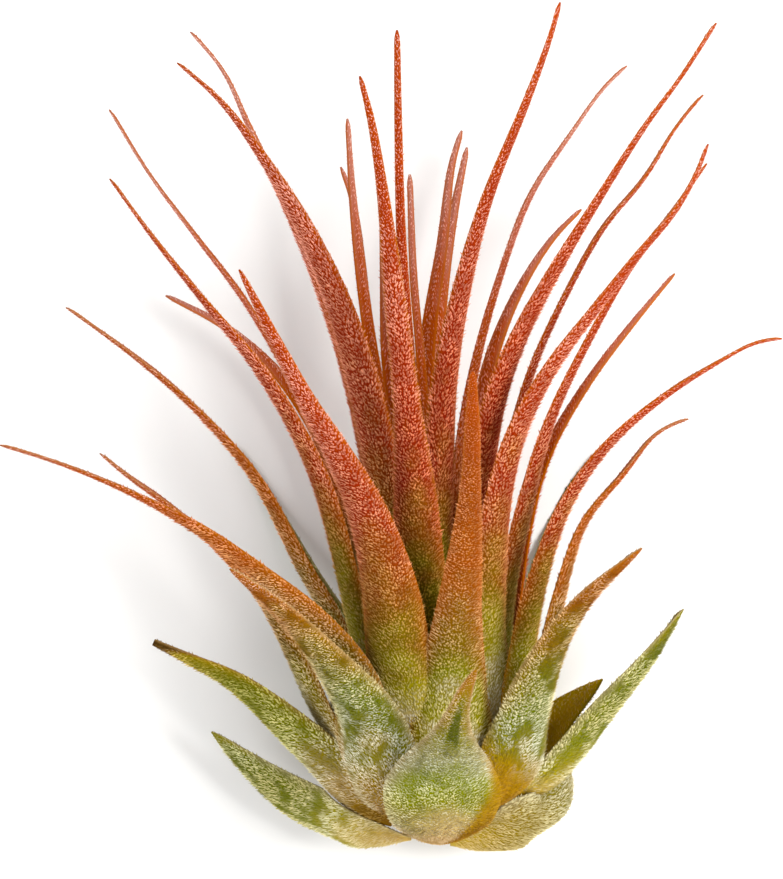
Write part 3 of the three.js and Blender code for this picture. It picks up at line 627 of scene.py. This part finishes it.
# The shade between the scales, and the places along a leaf where the base's own one ends
GAP_SHADE = 0.56
GAP_SATURATION = 1.2
AMBER_SHADE = 0.9
BASE_BAND = (0.14, 0.34)

# The green slit: the places across and along the leaf where it fades in and out
SLIT_SIDES = (0.4, 0.2)
SLIT_START = (0.64, 0.7)
SLIT_END = (0.88, 0.8)

# The leaf's surface: its relief, its gloss, and how far light spreads in its flesh
BUMP_STRENGTH = 0.8
CELL_RELIEF = 0.7
FINE_RELIEF = 0.3
LEAF_ROUGHNESS = (0.5, 0.75)
LEAF_GLOSS = 0.03
GLOW_WEIGHT = 0.06
GLOW_RADIUS = (1.0, 0.5, 0.25)
GLOW_DEPTH = 0.8

# The bark's fibres, drawn out along the stem
FIBRE_SIZE = 0.4
FIBRE_STRETCH = (1, 0.3, 1)
FIBRE_DETAIL = 6.0
BARK_DEPTH = 0.2
BARK_STRENGTH = 0.9
BARK_ROUGHNESS = (0.95, 0.75)

# The floor and the lights, in metres: each light's place, size, power in watts and colour
FLOOR_SIZE = 1.6
FLOOR_DROP = 0.00005
FLOOR_COLOUR = (0.82, 0.82, 0.815, 1)
FLOOR_ROUGHNESS = 0.9
FLOOR_GLOSS = 0.1
WORLD_STRENGTH = 0.62
LIGHT_AIM = (0, 0.02, 0.015)
WHITE = (1.0, 1.0, 1.0)
WARM_WHITE = (1.0, 0.99, 0.97)
LIGHTS = {
    "key": ((0.3, 0.04, 0.42), 0.24, 2.9, WARM_WHITE),
    "fill": ((-0.35, -0.1, 0.4), 0.4, 1.1, WHITE),
    "low_fill": ((0.02, -0.42, 0.2), 0.3, 0.9, WARM_WHITE),
}

# The camera, far above the plant with a long lens, so that nothing narrows with height. It
# frames this many pixels of the picture's height at FOCUS_HEIGHT.
MM_PER_PIXEL = 0.08
FRAME_PIXELS = 879
CAMERA_SPOT = (-3.88, 21.64)
FOCUS_HEIGHT = 16
LENS = 1000
SENSOR = 36
CLIP_START = 0.1
CLIP_END = 10

# The plant's own directions: to the right, along the stem, and out to the front
RIGHT = np.array([1.0, 0.0, 0.0])
AXIS = np.array([0.0, math.cos(math.radians(STEM_LEAN)), math.sin(math.radians(STEM_LEAN))])
FRONT = np.array([0.0, -math.sin(math.radians(STEM_LEAN)), math.cos(math.radians(STEM_LEAN))])


def mixed(a, b, share):
    return a + (b - a) * share


def smooth(value, low, high):
    share = np.clip((value - low) / (high - low), 0, 1)
    return share * share * (3 - 2 * share)


def unit(vectors):
    return vectors / np.linalg.norm(vectors, axis=-1, keepdims=True)


def outward(side):
    """The direction away from the stem's axis, at each angle round it"""
    angle = np.radians(np.atleast_1d(side))[:, None]
    return RIGHT * np.cos(angle) + FRONT * np.sin(angle)


def beside_stem(height, radius, side):
    return STEM_FOOT + AXIS * height + outward(side)[0] * radius


def stem_radius(height):
    return mixed(STEM_RADIUS_FOOT, STEM_RADIUS_TOP, height / STEM_LENGTH)


def apart(side, other):
    turn = abs(side - other) % 360
    return min(turn, 360 - turn)


def reach(width, radius):
    """Half the angle that a sheath of this width takes up at this radius"""
    return math.degrees(math.asin(min(1, width / 2 / radius)))


def sheath_radii(leaves):
    """Each sheath's radius: just over the highest of the sheaths inside it that it covers"""
    radii = []
    for i, outer in enumerate(leaves):
        radius = HEART_RADIUS
        for inner, inner_radius in zip(leaves[:i], radii):
            covered = reach(outer["sheath"], inner_radius + SHEATH_PITCH)
            covered += reach(inner["sheath"], inner_radius)
            if apart(outer["side"], inner["side"]) < covered:
                radius = max(radius, inner_radius + SHEATH_PITCH)
        radii.append(outer.get("radius", radius))
    return radii


def spline(points, shares):
    """A centripetal curve through the points, at these shares of its run"""
    points = np.asarray(points, dtype=float)
    last = len(points) - 1
    before = 2 * points[0] - points[1]
    after = 2 * points[-1] - points[-2]
    points = np.vstack([before, points, after])
    place = np.clip(shares, 0, 1) * last
    k = np.minimum(place.astype(int), last - 1)
    t = (place - k)[:, None]
    a, b, c, d = (points[k + i] for i in range(4))
    spans = ((a, b), (b, c), (c, d))
    ab, bc, cd = (np.sqrt(np.linalg.norm(q - p, axis=1))[:, None] for p, q in spans)
    start = bc * ((b - a) / ab - (c - a) / (ab + bc) + (c - b) / bc)
    end = bc * ((c - b) / bc - (d - b) / (bc + cd) + (d - c) / cd)
    square = 3 * (c - b) - 2 * start - end
    cube = 2 * (b - c) + start + end
    return b + t * (start + t * (square + t * cube))


def spine(leaf, seat, radius):
    """The points that a leaf passes, with the width, the channel and the thickness at each"""
    seat_radius = stem_radius(seat) + SEAT_CLEARANCE
    middle_radius = mixed(seat_radius, radius, SWELL_MIDDLE)
    climb = leaf.get("rise", RISE_LEAST + RISE_SHARE * radius)
    side = leaf["side"]
    places = [
        beside_stem(seat, leaf.get("start", seat_radius), side),
        beside_stem(seat + RISE_MIDDLE * climb, middle_radius, side),
        beside_stem(seat + climb, radius, side),
    ]
    sheath = leaf["sheath"]
    foot = leaf.get("foot", sheath * SHEATH_FOOT_SHARE)
    middle = mixed(foot, sheath, SHEATH_MIDDLE)
    widths = ((foot, seat_radius), (middle, middle_radius), (sheath, radius))
    sizes = [(width, reach(width, at), THICK_SHEATH) for width, at in widths]
    last = len(leaf["route"]) - 1
    for k, (x, y, z, width) in enumerate(leaf["route"]):
        share = (k / last) ** 2
        channel = mixed(leaf.get("channel", CHANNEL), CHANNEL_TIP, share)
        places.append((x, y, z))
        sizes.append((width, channel, mixed(THICK_BLADE, THICK_TIP, share)))
    return places, sizes


def eased(values):
    """Values along a leaf with their kinks rounded off and their ends kept"""
    for _ in range(EASE_ROUNDS):
        values = np.concatenate([
            values[:1], (values[:-2] + 2 * values[1:-1] + values[2:]) / 4, values[-1:],
        ])
    return values


def leaf_frames(leaf, seat, radius):
    """What a leaf's section needs at each station: its place, directions and sizes"""
    places, sizes = spine(leaf, seat, radius)
    shares = np.linspace(0, 1, CURVE_SAMPLES)
    steps = np.linalg.norm(np.diff(spline(places, shares), axis=0), axis=1)
    run = np.concatenate([[0], np.cumsum(steps)])
    length = run[-1]
    stations = np.linspace(0, 1, int(round(length / STATION_PITCH)) + 1)
    at = np.interp(stations * length, run, shares)
    middle = eased(spline(places, at))
    along = unit(np.gradient(middle, axis=0))
    pole = 90 if leaf["side"] < 180 else 270
    turn = (TURN_SHARE - 1) * (leaf["side"] - pole)
    turned = leaf["side"] + turn * smooth(stations, TURN_START, TURN_END)
    if "face" in leaf:
        turned = np.full(len(stations), float(leaf["face"]))
    inwards = AXIS - outward(turned)
    inwards = unit(inwards - along * np.sum(inwards * along, axis=1, keepdims=True))
    width, channel, thick = eased(spline(sizes, at)).T
    to_tip = (1 - stations) * length
    taper = np.ones(len(stations))
    if not leaf.get("blunt"):
        taper = np.clip(to_tip / TIP_LENGTH, TIP_LEAST, 1) ** 0.5
    if "foot" in leaf:
        taper *= np.clip(stations * length / FOOT_LENGTH, FOOT_LEAST, 1) ** 0.5
    return {
        "middle": middle,
        "along": along,
        "inwards": inwards,
        "sideways": np.cross(inwards, along),
        "width": np.maximum(width, LEAST_WIDTH) * taper,
        "half": np.radians(np.maximum(channel, CHANNEL_LEAST)),
        "thick": thick,
        "run": stations * length,
    }


def between(frames, run):
    """The frames at these distances along the leaf"""
    found = {}
    for name, values in frames.items():
        if values.ndim == 1:
            found[name] = np.interp(run, frames["run"], values)
        else:
            columns = [np.interp(run, frames["run"], column) for column in values.T]
            found[name] = np.stack(columns, axis=1)
    return found


def on_leaf(frames, place, inner):
    """Points on a face at these places across, from -1 to 1, and the directions out of it"""
    angle = frames["half"] * place
    curve = frames["width"] / 2 / np.sin(frames["half"])
    sine = np.sin(angle)[:, None]
    cosine = np.cos(angle)[:, None]
    spread = curve[:, None] * sine
    back = curve[:, None] * (1 - cosine) - frames["thick"][:, None] / 2
    points = frames["middle"] + frames["sideways"] * spread + frames["inwards"] * back
    outwards = frames["sideways"] * sine - frames["inwards"] * cosine
    if not inner:
        return points, outwards
    margin = np.minimum(MARGIN, FLESH_SHARE * frames["width"])
    flesh = np.minimum(FLESH, FLESH_SHARE * frames["width"])
    depth = mixed(margin, flesh, 1 - place**2)[:, None]
    return points - outwards * depth, -outwards


def leaf_skin(frames):
    """The points and faces of the leaf's two faces, its margins and its ends"""
    count = len(frames["run"])
    places = np.linspace(-1, 1, ACROSS)
    rows = []
    facts = []
    for inner in (False, True):
        order = places[::-1] if inner else places
        for place in order:
            points, _ = on_leaf(frames, np.full(count, place), inner)
            rows.append(points)
            facts.append((place, float(inner)))
    around = len(rows)
    points = np.stack(rows, axis=1).reshape(-1, 3)
    across = np.tile([place for place, _ in facts], count)
    inner = np.tile([flag for _, flag in facts], count)
    at = np.arange(count * around).reshape(count, around)
    here = at[:-1]
    there = at[1:]
    quads = np.stack([here, np.roll(here, -1, 1), np.roll(there, -1, 1), there], axis=2)
    quads = quads.reshape(-1, 4)
    left = np.arange(ACROSS - 1)
    mirror = around - 1 - left
    for ring, order in ((at[0], (0, 1, 2, 3)), (at[-1], (3, 2, 1, 0))):
        corners = np.stack([ring[left], ring[mirror], ring[mirror - 1], ring[left + 1]], axis=1)
        quads = np.vstack([quads, corners[:, order]])
    return points, quads, across, inner, np.repeat(frames["run"], around)


def leaf_scales(frames, felt, inner, rng):
    """Small pointed scales over one face: four points and four triangles each"""
    length = frames["run"][-1]
    density = felt * (INNER_FELT if inner else 1)
    rows = np.arange(BARE * length, length - SCALE_LENGTH / 2, SCALE_ROW / math.sqrt(density))
    width = np.interp(rows, frames["run"], frames["width"])
    half = np.interp(rows, frames["run"], frames["half"])
    arc = width / np.sin(half) * half
    columns = np.maximum(2, np.round(arc * math.sqrt(density) / SCALE_COLUMN).astype(int))
    row = np.repeat(np.arange(len(rows)), columns)
    column = np.concatenate([np.arange(n) for n in columns])
    total = len(row)
    place = 2 * (column + rng.uniform(0, 1, total)) / columns[row] - 1
    run = rows[row] + rng.uniform(-0.5, 0.5, total) * SCALE_ROW
    found = between(frames, np.clip(run, 0, length))
    points, out = on_leaf(found, place, inner)
    narrowing = np.clip(found["width"] / SCALE_WIDE_BLADE, SCALE_SMALLEST, 1)
    size = rng.uniform(*SCALE_SIZES, total) * narrowing
    turn = np.radians(rng.uniform(-SCALE_TURN, SCALE_TURN, total) + SCALE_SPREAD * place**3)
    lateral = np.cross(out, found["along"])
    if inner:
        turn = -turn
    forwards = found["along"] * np.cos(turn)[:, None] - lateral * np.sin(turn)[:, None]
    lateral = np.cross(out, forwards)
    size = size[:, None]
    lift = rng.uniform(*SCALE_LIFTS, total)[:, None] * SCALE_LIFT * size
    tail = points - forwards * size * SCALE_LENGTH / 2 - out * SCALE_SUNK
    tip = points + forwards * size * SCALE_LENGTH / 2 + out * lift
    middle = points - forwards * size * SCALE_LENGTH * SCALE_WAIST - out * SCALE_SUNK / 2
    side = lateral * size * SCALE_WIDTH / 2
    corners = np.stack([tail, middle + side, middle - side, tip], axis=1).reshape(-1, 3)
    first = np.arange(total)[:, None] * 4
    pattern = np.array([[0, 2, 3], [0, 3, 1], [0, 1, 2], [3, 2, 1]])
    triangles = (first[:, :, None] + pattern[None]).reshape(-1, 3)
    chance = np.repeat(rng.uniform(0, 1, total), 4)
    pale = np.tile([SCALE_TAIL, SCALE_SIDE, SCALE_SIDE, 1], total)
    return corners, triangles, np.repeat(place, 4), np.repeat(run, 4), pale, chance


def mesh_of(name, points, faces, smooth_faces):
    """A mesh in metres, inside the solids' box and on the floor"""
    low, high = (np.array(corner) for corner in BOX_BEFORE)
    points = np.clip((points - REST_SPOT) * METRES, low, high)
    mesh = bpy.data.meshes.new(name)
    mesh.from_pydata(points.tolist(), [], faces)
    mesh.polygons.foreach_set("use_smooth", smooth_faces)
    return mesh


def set_attribute(mesh, name, values):
    values = values.astype(np.float32)
    if values.ndim == 1:
        data = mesh.attributes.new(name, "FLOAT", "POINT").data
        data.foreach_set("value", values)
    else:
        data = mesh.attributes.new(name, "FLOAT_VECTOR", "POINT").data
        data.foreach_set("vector", values.ravel())


def show(name, mesh, material, node):
    mesh.materials.append(material)
    piece = bpy.data.objects.new(name, mesh)
    bpy.context.scene.collection.objects.link(piece)
    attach(piece, "root")
    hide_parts(node)


def paint_place(leaf, share):
    """Where on its paint's ramps a leaf is, at each share of its length"""
    stops = [0, leaf.get("greens", GREENS), leaf.get("turns", TURNS), 1]
    return np.interp(share, stops, [0, PAINT_GREENS, PAINT_TURNS, 1])


def amber_part(leaf, share, across):
    """How far the clear amber of a sheath's base shows, from 0 to 1"""
    end, lean = leaf.get("amber", (AMBER_END, 0))
    return 1 - smooth(share - lean * across, end - AMBER_FADE, end + AMBER_FADE)


def build_leaf(index, leaf, seat, radius, materials):
    rng = np.random.default_rng([SEED, index])
    frames = leaf_frames(leaf, seat, radius)
    points, quads, across, inner, run = leaf_skin(frames)
    parts = [(points, across, inner, run, np.zeros(len(points)), np.zeros(len(points)))]
    faces = quads.tolist()
    smooth_faces = [True] * len(faces)
    start = len(points)
    for flag in (False, True):
        scales = leaf_scales(frames, leaf.get("felt", 1), flag, rng)
        corners, triangles, place, at, pale, chance = scales
        faces += (triangles + start).tolist()
        smooth_faces += [False] * len(triangles)
        start += len(corners)
        parts.append((corners, place, np.full(len(corners), float(flag)), at, pale, chance))
    points, across, inner, run, scale, chance = (np.concatenate(column) for column in zip(*parts))
    mesh = mesh_of(leaf["name"], points, faces, smooth_faces)
    share = run / frames["run"][-1]
    wide = np.interp(run, frames["run"], frames["width"])
    offset = np.full(len(run), LEAF_OFFSET * index)
    set_attribute(mesh, "along", paint_place(leaf, share))
    set_attribute(mesh, "across", across)
    set_attribute(mesh, "inner", inner)
    set_attribute(mesh, "scale", scale)
    set_attribute(mesh, "chance", chance)
    set_attribute(mesh, "amber", amber_part(leaf, share, across))
    set_attribute(mesh, "weave", np.stack([across * wide / 2, run, offset + inner], axis=1))
    show(leaf["name"] + "_with_scales", mesh, materials[leaf["paint"]], leaf["name"])


def build_stem(material):
    rng = np.random.default_rng(SEED)
    heights = np.linspace(STEM_START, STEM_LENGTH, STEM_RINGS)
    angles = np.linspace(0, 360, STEM_AROUND, endpoint=False)
    points = []
    for height in heights:
        scar = abs(math.sin(math.pi * SCARS * height / STEM_LENGTH))
        to_end = min(height - STEM_START, STEM_LENGTH - height)
        rounded = mixed(STEM_END_SHARE, 1, min(1, to_end / STEM_ENDS) ** 0.5)
        rough = rng.uniform(0, ROUGHNESS, STEM_AROUND)
        radius = stem_radius(height) * rounded * (1 - SCAR_DEPTH * (1 - scar) - rough)
        ring = STEM_FOOT + AXIS * height + outward(angles) * radius[:, None]
        points.append(ring)
    at = np.arange(STEM_RINGS * STEM_AROUND).reshape(STEM_RINGS, STEM_AROUND)
    here = at[:-1]
    there = at[1:]
    sides = np.stack([here, there, np.roll(there, -1, 1), np.roll(here, -1, 1)], axis=2)
    faces = sides.reshape(-1, 4).tolist() + [at[0].tolist(), at[-1][::-1].tolist()]
    mesh = mesh_of("stem", np.concatenate(points), faces, [True] * len(faces))
    show("stem_with_scars", mesh, material, "stem")


def linear(colour):
    """A colour written as #rrggbb, as the red, green, blue and alpha that a shader takes"""
    levels = [int(colour[k:k + 2], 16) / 255 for k in (1, 3, 5)]
    return [v / 12.92 if v <= 0.04045 else ((v + 0.055) / 1.055) ** 2.4 for v in levels] + [1.0]


def node(tree, kind, inputs=(), **settings):
    """A shader node with these settings, and these inputs as values or links"""
    made = tree.nodes.new("ShaderNode" + kind)
    for name, value in settings.items():
        setattr(made, name, value)
    for key, value in dict(inputs).items():
        if isinstance(value, bpy.types.NodeSocket):
            tree.links.new(value, made.inputs[key])
        else:
            made.inputs[key].default_value = value
    return made


def attribute(tree, name, output="Fac"):
    return node(tree, "Attribute", attribute_name=name).outputs[output]


def maths(tree, operation, *values, clamp=False):
    made = node(tree, "Math", dict(enumerate(values)), operation=operation, use_clamp=clamp)
    return made.outputs[0]


def product(tree, a, b):
    return maths(tree, "MULTIPLY", a, b)


def stretched(tree, vector, factors):
    made = node(tree, "VectorMath", {0: vector, 1: factors}, operation="MULTIPLY")
    return made.outputs[0]


def ramp(tree, factor, places, colours):
    """A ramp with these places and these colours, written one after another"""
    made = node(tree, "ValToRGB", {"Fac": factor})
    elements = made.color_ramp.elements
    while len(elements) < len(places):
        elements.new(0.5)
    for element, place, colour in zip(elements, places, colours.split()):
        element.position = place
        element.color = linear(colour)
    return made.outputs["Color"]


def blend(tree, factor, a, b):
    """Two colours mixed"""
    made = node(tree, "Mix", {0: factor, 6: a, 7: b}, data_type="RGBA")
    return made.outputs[2]


def mapped(tree, value, low, high, to_low=0.0, to_high=1.0):
    inputs = {"Value": value, "From Min": low, "From Max": high, "To Min": to_low, "To Max": to_high}
    return node(tree, "MapRange", inputs).outputs["Result"]


def noise(tree, vector, size, detail=2.0):
    inputs = {"Vector": vector, "Scale": 1 / size, "Detail": detail}
    return node(tree, "TexNoise", inputs).outputs["Fac"]


def new_material(name):
    """An empty material and its node tree"""
    material = bpy.data.materials.new(name)
    material.use_nodes = True
    material.node_tree.nodes.clear()
    return material, material.node_tree


def finish_material(tree, inputs):
    shader = node(tree, "BsdfPrincipled", inputs)
    output = node(tree, "OutputMaterial")
    tree.links.new(shader.outputs["BSDF"], output.inputs["Surface"])


def leaf_material(name, paint):
    material, tree = new_material(name)
    weave = attribute(tree, "weave", "Vector")
    scale = attribute(tree, "scale")
    chance = attribute(tree, "chance")
    inner = attribute(tree, "inner")

    # Blotches move the colours up and down the leaf by a few millimetres
    blotch = noise(tree, weave, BLOTCH_SIZE)
    shift = mapped(tree, blotch, *BLOTCH_BAND, -BLOTCH_SHIFT, BLOTCH_SHIFT)
    across = maths(tree, "ABSOLUTE", attribute(tree, "across"))
    rim = product(tree, maths(tree, "POWER", across, RIM_POWER), RIM_SHIFT)
    along = maths(tree, "ADD", attribute(tree, "along"), maths(tree, "ADD", shift, rim), clamp=True)
    skin = ramp(tree, along, paint["places"], paint["skin"])
    felt = ramp(tree, along, paint["places"], paint["scales"])

    # Cells between the scales, drawn out along the leaf, look like smaller scales
    cells = node(tree, "TexVoronoi", {"Vector": stretched(tree, weave, GRAIN_DENSITY), "Scale": 1.0})
    cell = mapped(tree, cells.outputs["Distance"], *CELL_BAND, 1.0, 0.0)
    fine = noise(tree, weave, FINE_SIZE)
    powder = product(tree, cell, mapped(tree, fine, *FINE_BAND, 0.0, POWDER))
    ground = blend(tree, powder, skin, felt)
    inside = ramp(tree, along, *INNER[paint["inner"]])
    ground = blend(tree, product(tree, inner, INNER_PART), ground, inside)

    # The thin margins are tinted, most at the very edge
    edge = maths(tree, "POWER", across, EDGE_POWER)
    ground = blend(tree, product(tree, edge, EDGE_PART), ground, linear(paint["margin"]))

    # The channel of a folded tip is a green slit
    slit = mapped(tree, across, *SLIT_SIDES)
    slit = product(tree, slit, mapped(tree, along, *SLIT_START))
    slit = product(tree, slit, mapped(tree, along, *SLIT_END))
    slit = product(tree, slit, paint.get("slit", 0.0))
    ground = blend(tree, slit, ground, linear(SLIT_COLOUR))

    # The base of some sheaths is clear amber
    amber = attribute(tree, "amber")
    ground = blend(tree, product(tree, amber, AMBER_PART), ground, linear(AMBER_SKIN))
    felt = blend(tree, amber, felt, linear(AMBER_SCALES))

    # Each scale has its own share of the pale colour, and little of it in the worn patches
    drawn = stretched(tree, weave, PATCH_STRETCH)
    patch = noise(tree, drawn, PATCH_SIZE, PATCH_DETAIL)
    worn = mapped(tree, patch, *WORN_BAND, 0.0, paint["patches"])
    worn = maths(tree, "MAXIMUM", worn, product(tree, amber, AMBER_WORN))
    worn = maths(tree, "MAXIMUM", worn, product(tree, slit, SLIT_WORN))
    own = mapped(tree, chance, 0.0, 1.0, *SCALE_PALENESS)
    own = product(tree, own, maths(tree, "SUBTRACT", 1.0, worn))

    # The skin between the scales lies in their shade, less so at a powdery base
    base = mapped(tree, along, *BASE_BAND, paint.get("base_shade", GAP_SHADE), GAP_SHADE)
    shade = maths(tree, "MAXIMUM", base, mapped(tree, amber, 0.0, 1.0, GAP_SHADE, AMBER_SHADE))
    deep = {"Color": ground, "Value": shade, "Saturation": GAP_SATURATION}
    gap = node(tree, "HueSaturation", deep).outputs["Color"]
    colour = blend(tree, product(tree, scale, own), gap, felt)

    height = maths(tree, "ADD", product(tree, cell, CELL_RELIEF), product(tree, fine, FINE_RELIEF))
    relief = {"Height": height, "Distance": BUMP_DEPTH * METRES, "Strength": BUMP_STRENGTH}
    bump = node(tree, "Bump", relief)
    finish_material(tree, {
        "Base Color": colour,
        "Roughness": mapped(tree, fine, *FINE_BAND, *LEAF_ROUGHNESS),
        "Normal": bump.outputs["Normal"],
        "Specular IOR Level": LEAF_GLOSS,
        "Subsurface Weight": GLOW_WEIGHT,
        "Subsurface Radius": GLOW_RADIUS,
        "Subsurface Scale": GLOW_DEPTH * METRES,
    })
    return material


def stem_material():
    material, tree = new_material("dry_bark")
    place = node(tree, "TexCoord").outputs["Object"]
    fibre = noise(tree, stretched(tree, place, FIBRE_STRETCH), FIBRE_SIZE * METRES, FIBRE_DETAIL)
    fibres = mapped(tree, fibre, *FINE_BAND)
    relief = {"Height": fibre, "Distance": BARK_DEPTH * METRES, "Strength": BARK_STRENGTH}
    bump = node(tree, "Bump", relief)
    finish_material(tree, {
        "Base Color": ramp(tree, fibres, STEM_PLACES, STEM_COLOURS),
        "Roughness": mapped(tree, fibre, *FINE_BAND, *BARK_ROUGHNESS),
        "Normal": bump.outputs["Normal"],
    })
    return material


def build_floor():
    half = FLOOR_SIZE / 2
    corners = [(x * half, y * half, -FLOOR_DROP) for x, y in ((-1, -1), (1, -1), (1, 1), (-1, 1))]
    mesh = bpy.data.meshes.new("floor")
    mesh.from_pydata(corners, [], [(0, 1, 2, 3)])
    material = bpy.data.materials.new("pale_floor")
    material.use_nodes = True
    shader = material.node_tree.nodes["Principled BSDF"]
    shader.inputs["Base Color"].default_value = FLOOR_COLOUR
    shader.inputs["Roughness"].default_value = FLOOR_ROUGHNESS
    shader.inputs["Specular IOR Level"].default_value = FLOOR_GLOSS
    mesh.materials.append(material)
    floor = bpy.data.objects.new("floor", mesh)
    bpy.context.scene.collection.objects.link(floor)


def add_light(name, place, size, power, colour):
    data = bpy.data.lights.new(name, "AREA")
    data.shape = "DISK"
    data.size = size
    data.energy = power
    data.color = colour
    light = bpy.data.objects.new(name, data)
    light.location = place
    aim = mathutils.Vector(np.array(LIGHT_AIM) - np.array(place))
    light.rotation_euler = aim.to_track_quat("-Z", "Y").to_euler()
    bpy.context.scene.collection.objects.link(light)


def add_camera():
    data = bpy.data.cameras.new("camera")
    data.lens = LENS
    data.sensor_width = SENSOR
    data.clip_start = CLIP_START
    data.clip_end = CLIP_END
    camera = bpy.data.objects.new("camera", data)
    away = FRAME_PIXELS * MM_PER_PIXEL * LENS / SENSOR
    camera.location = [v * METRES for v in (*CAMERA_SPOT, FOCUS_HEIGHT + away)]
    bpy.context.scene.collection.objects.link(camera)
    bpy.context.scene.camera = camera


def add_world():
    world = bpy.data.worlds.new("studio")
    world.use_nodes = True
    background = world.node_tree.nodes["Background"]
    background.inputs["Color"].default_value = (1, 1, 1, 1)
    background.inputs["Strength"].default_value = WORLD_STRENGTH
    bpy.context.scene.world = world


materials = {name: leaf_material(name + "_leaf_skin", paint) for name, paint in PAINTS.items()}
build_stem(stem_material())
radii = sheath_radii(LEAVES)
for i, each in enumerate(LEAVES):
    height = each.get("seat", mixed(SEAT_TOP, SEAT_FOOT, i / (len(LEAVES) - 1)))
    build_leaf(i, each, height, radii[i], materials)

build_floor()
add_world()
for name, (place, size, power, colour) in LIGHTS.items():
    add_light(name, place, size, power, colour)
add_camera()
bpy.context.scene.view_settings.view_transform = "Standard"
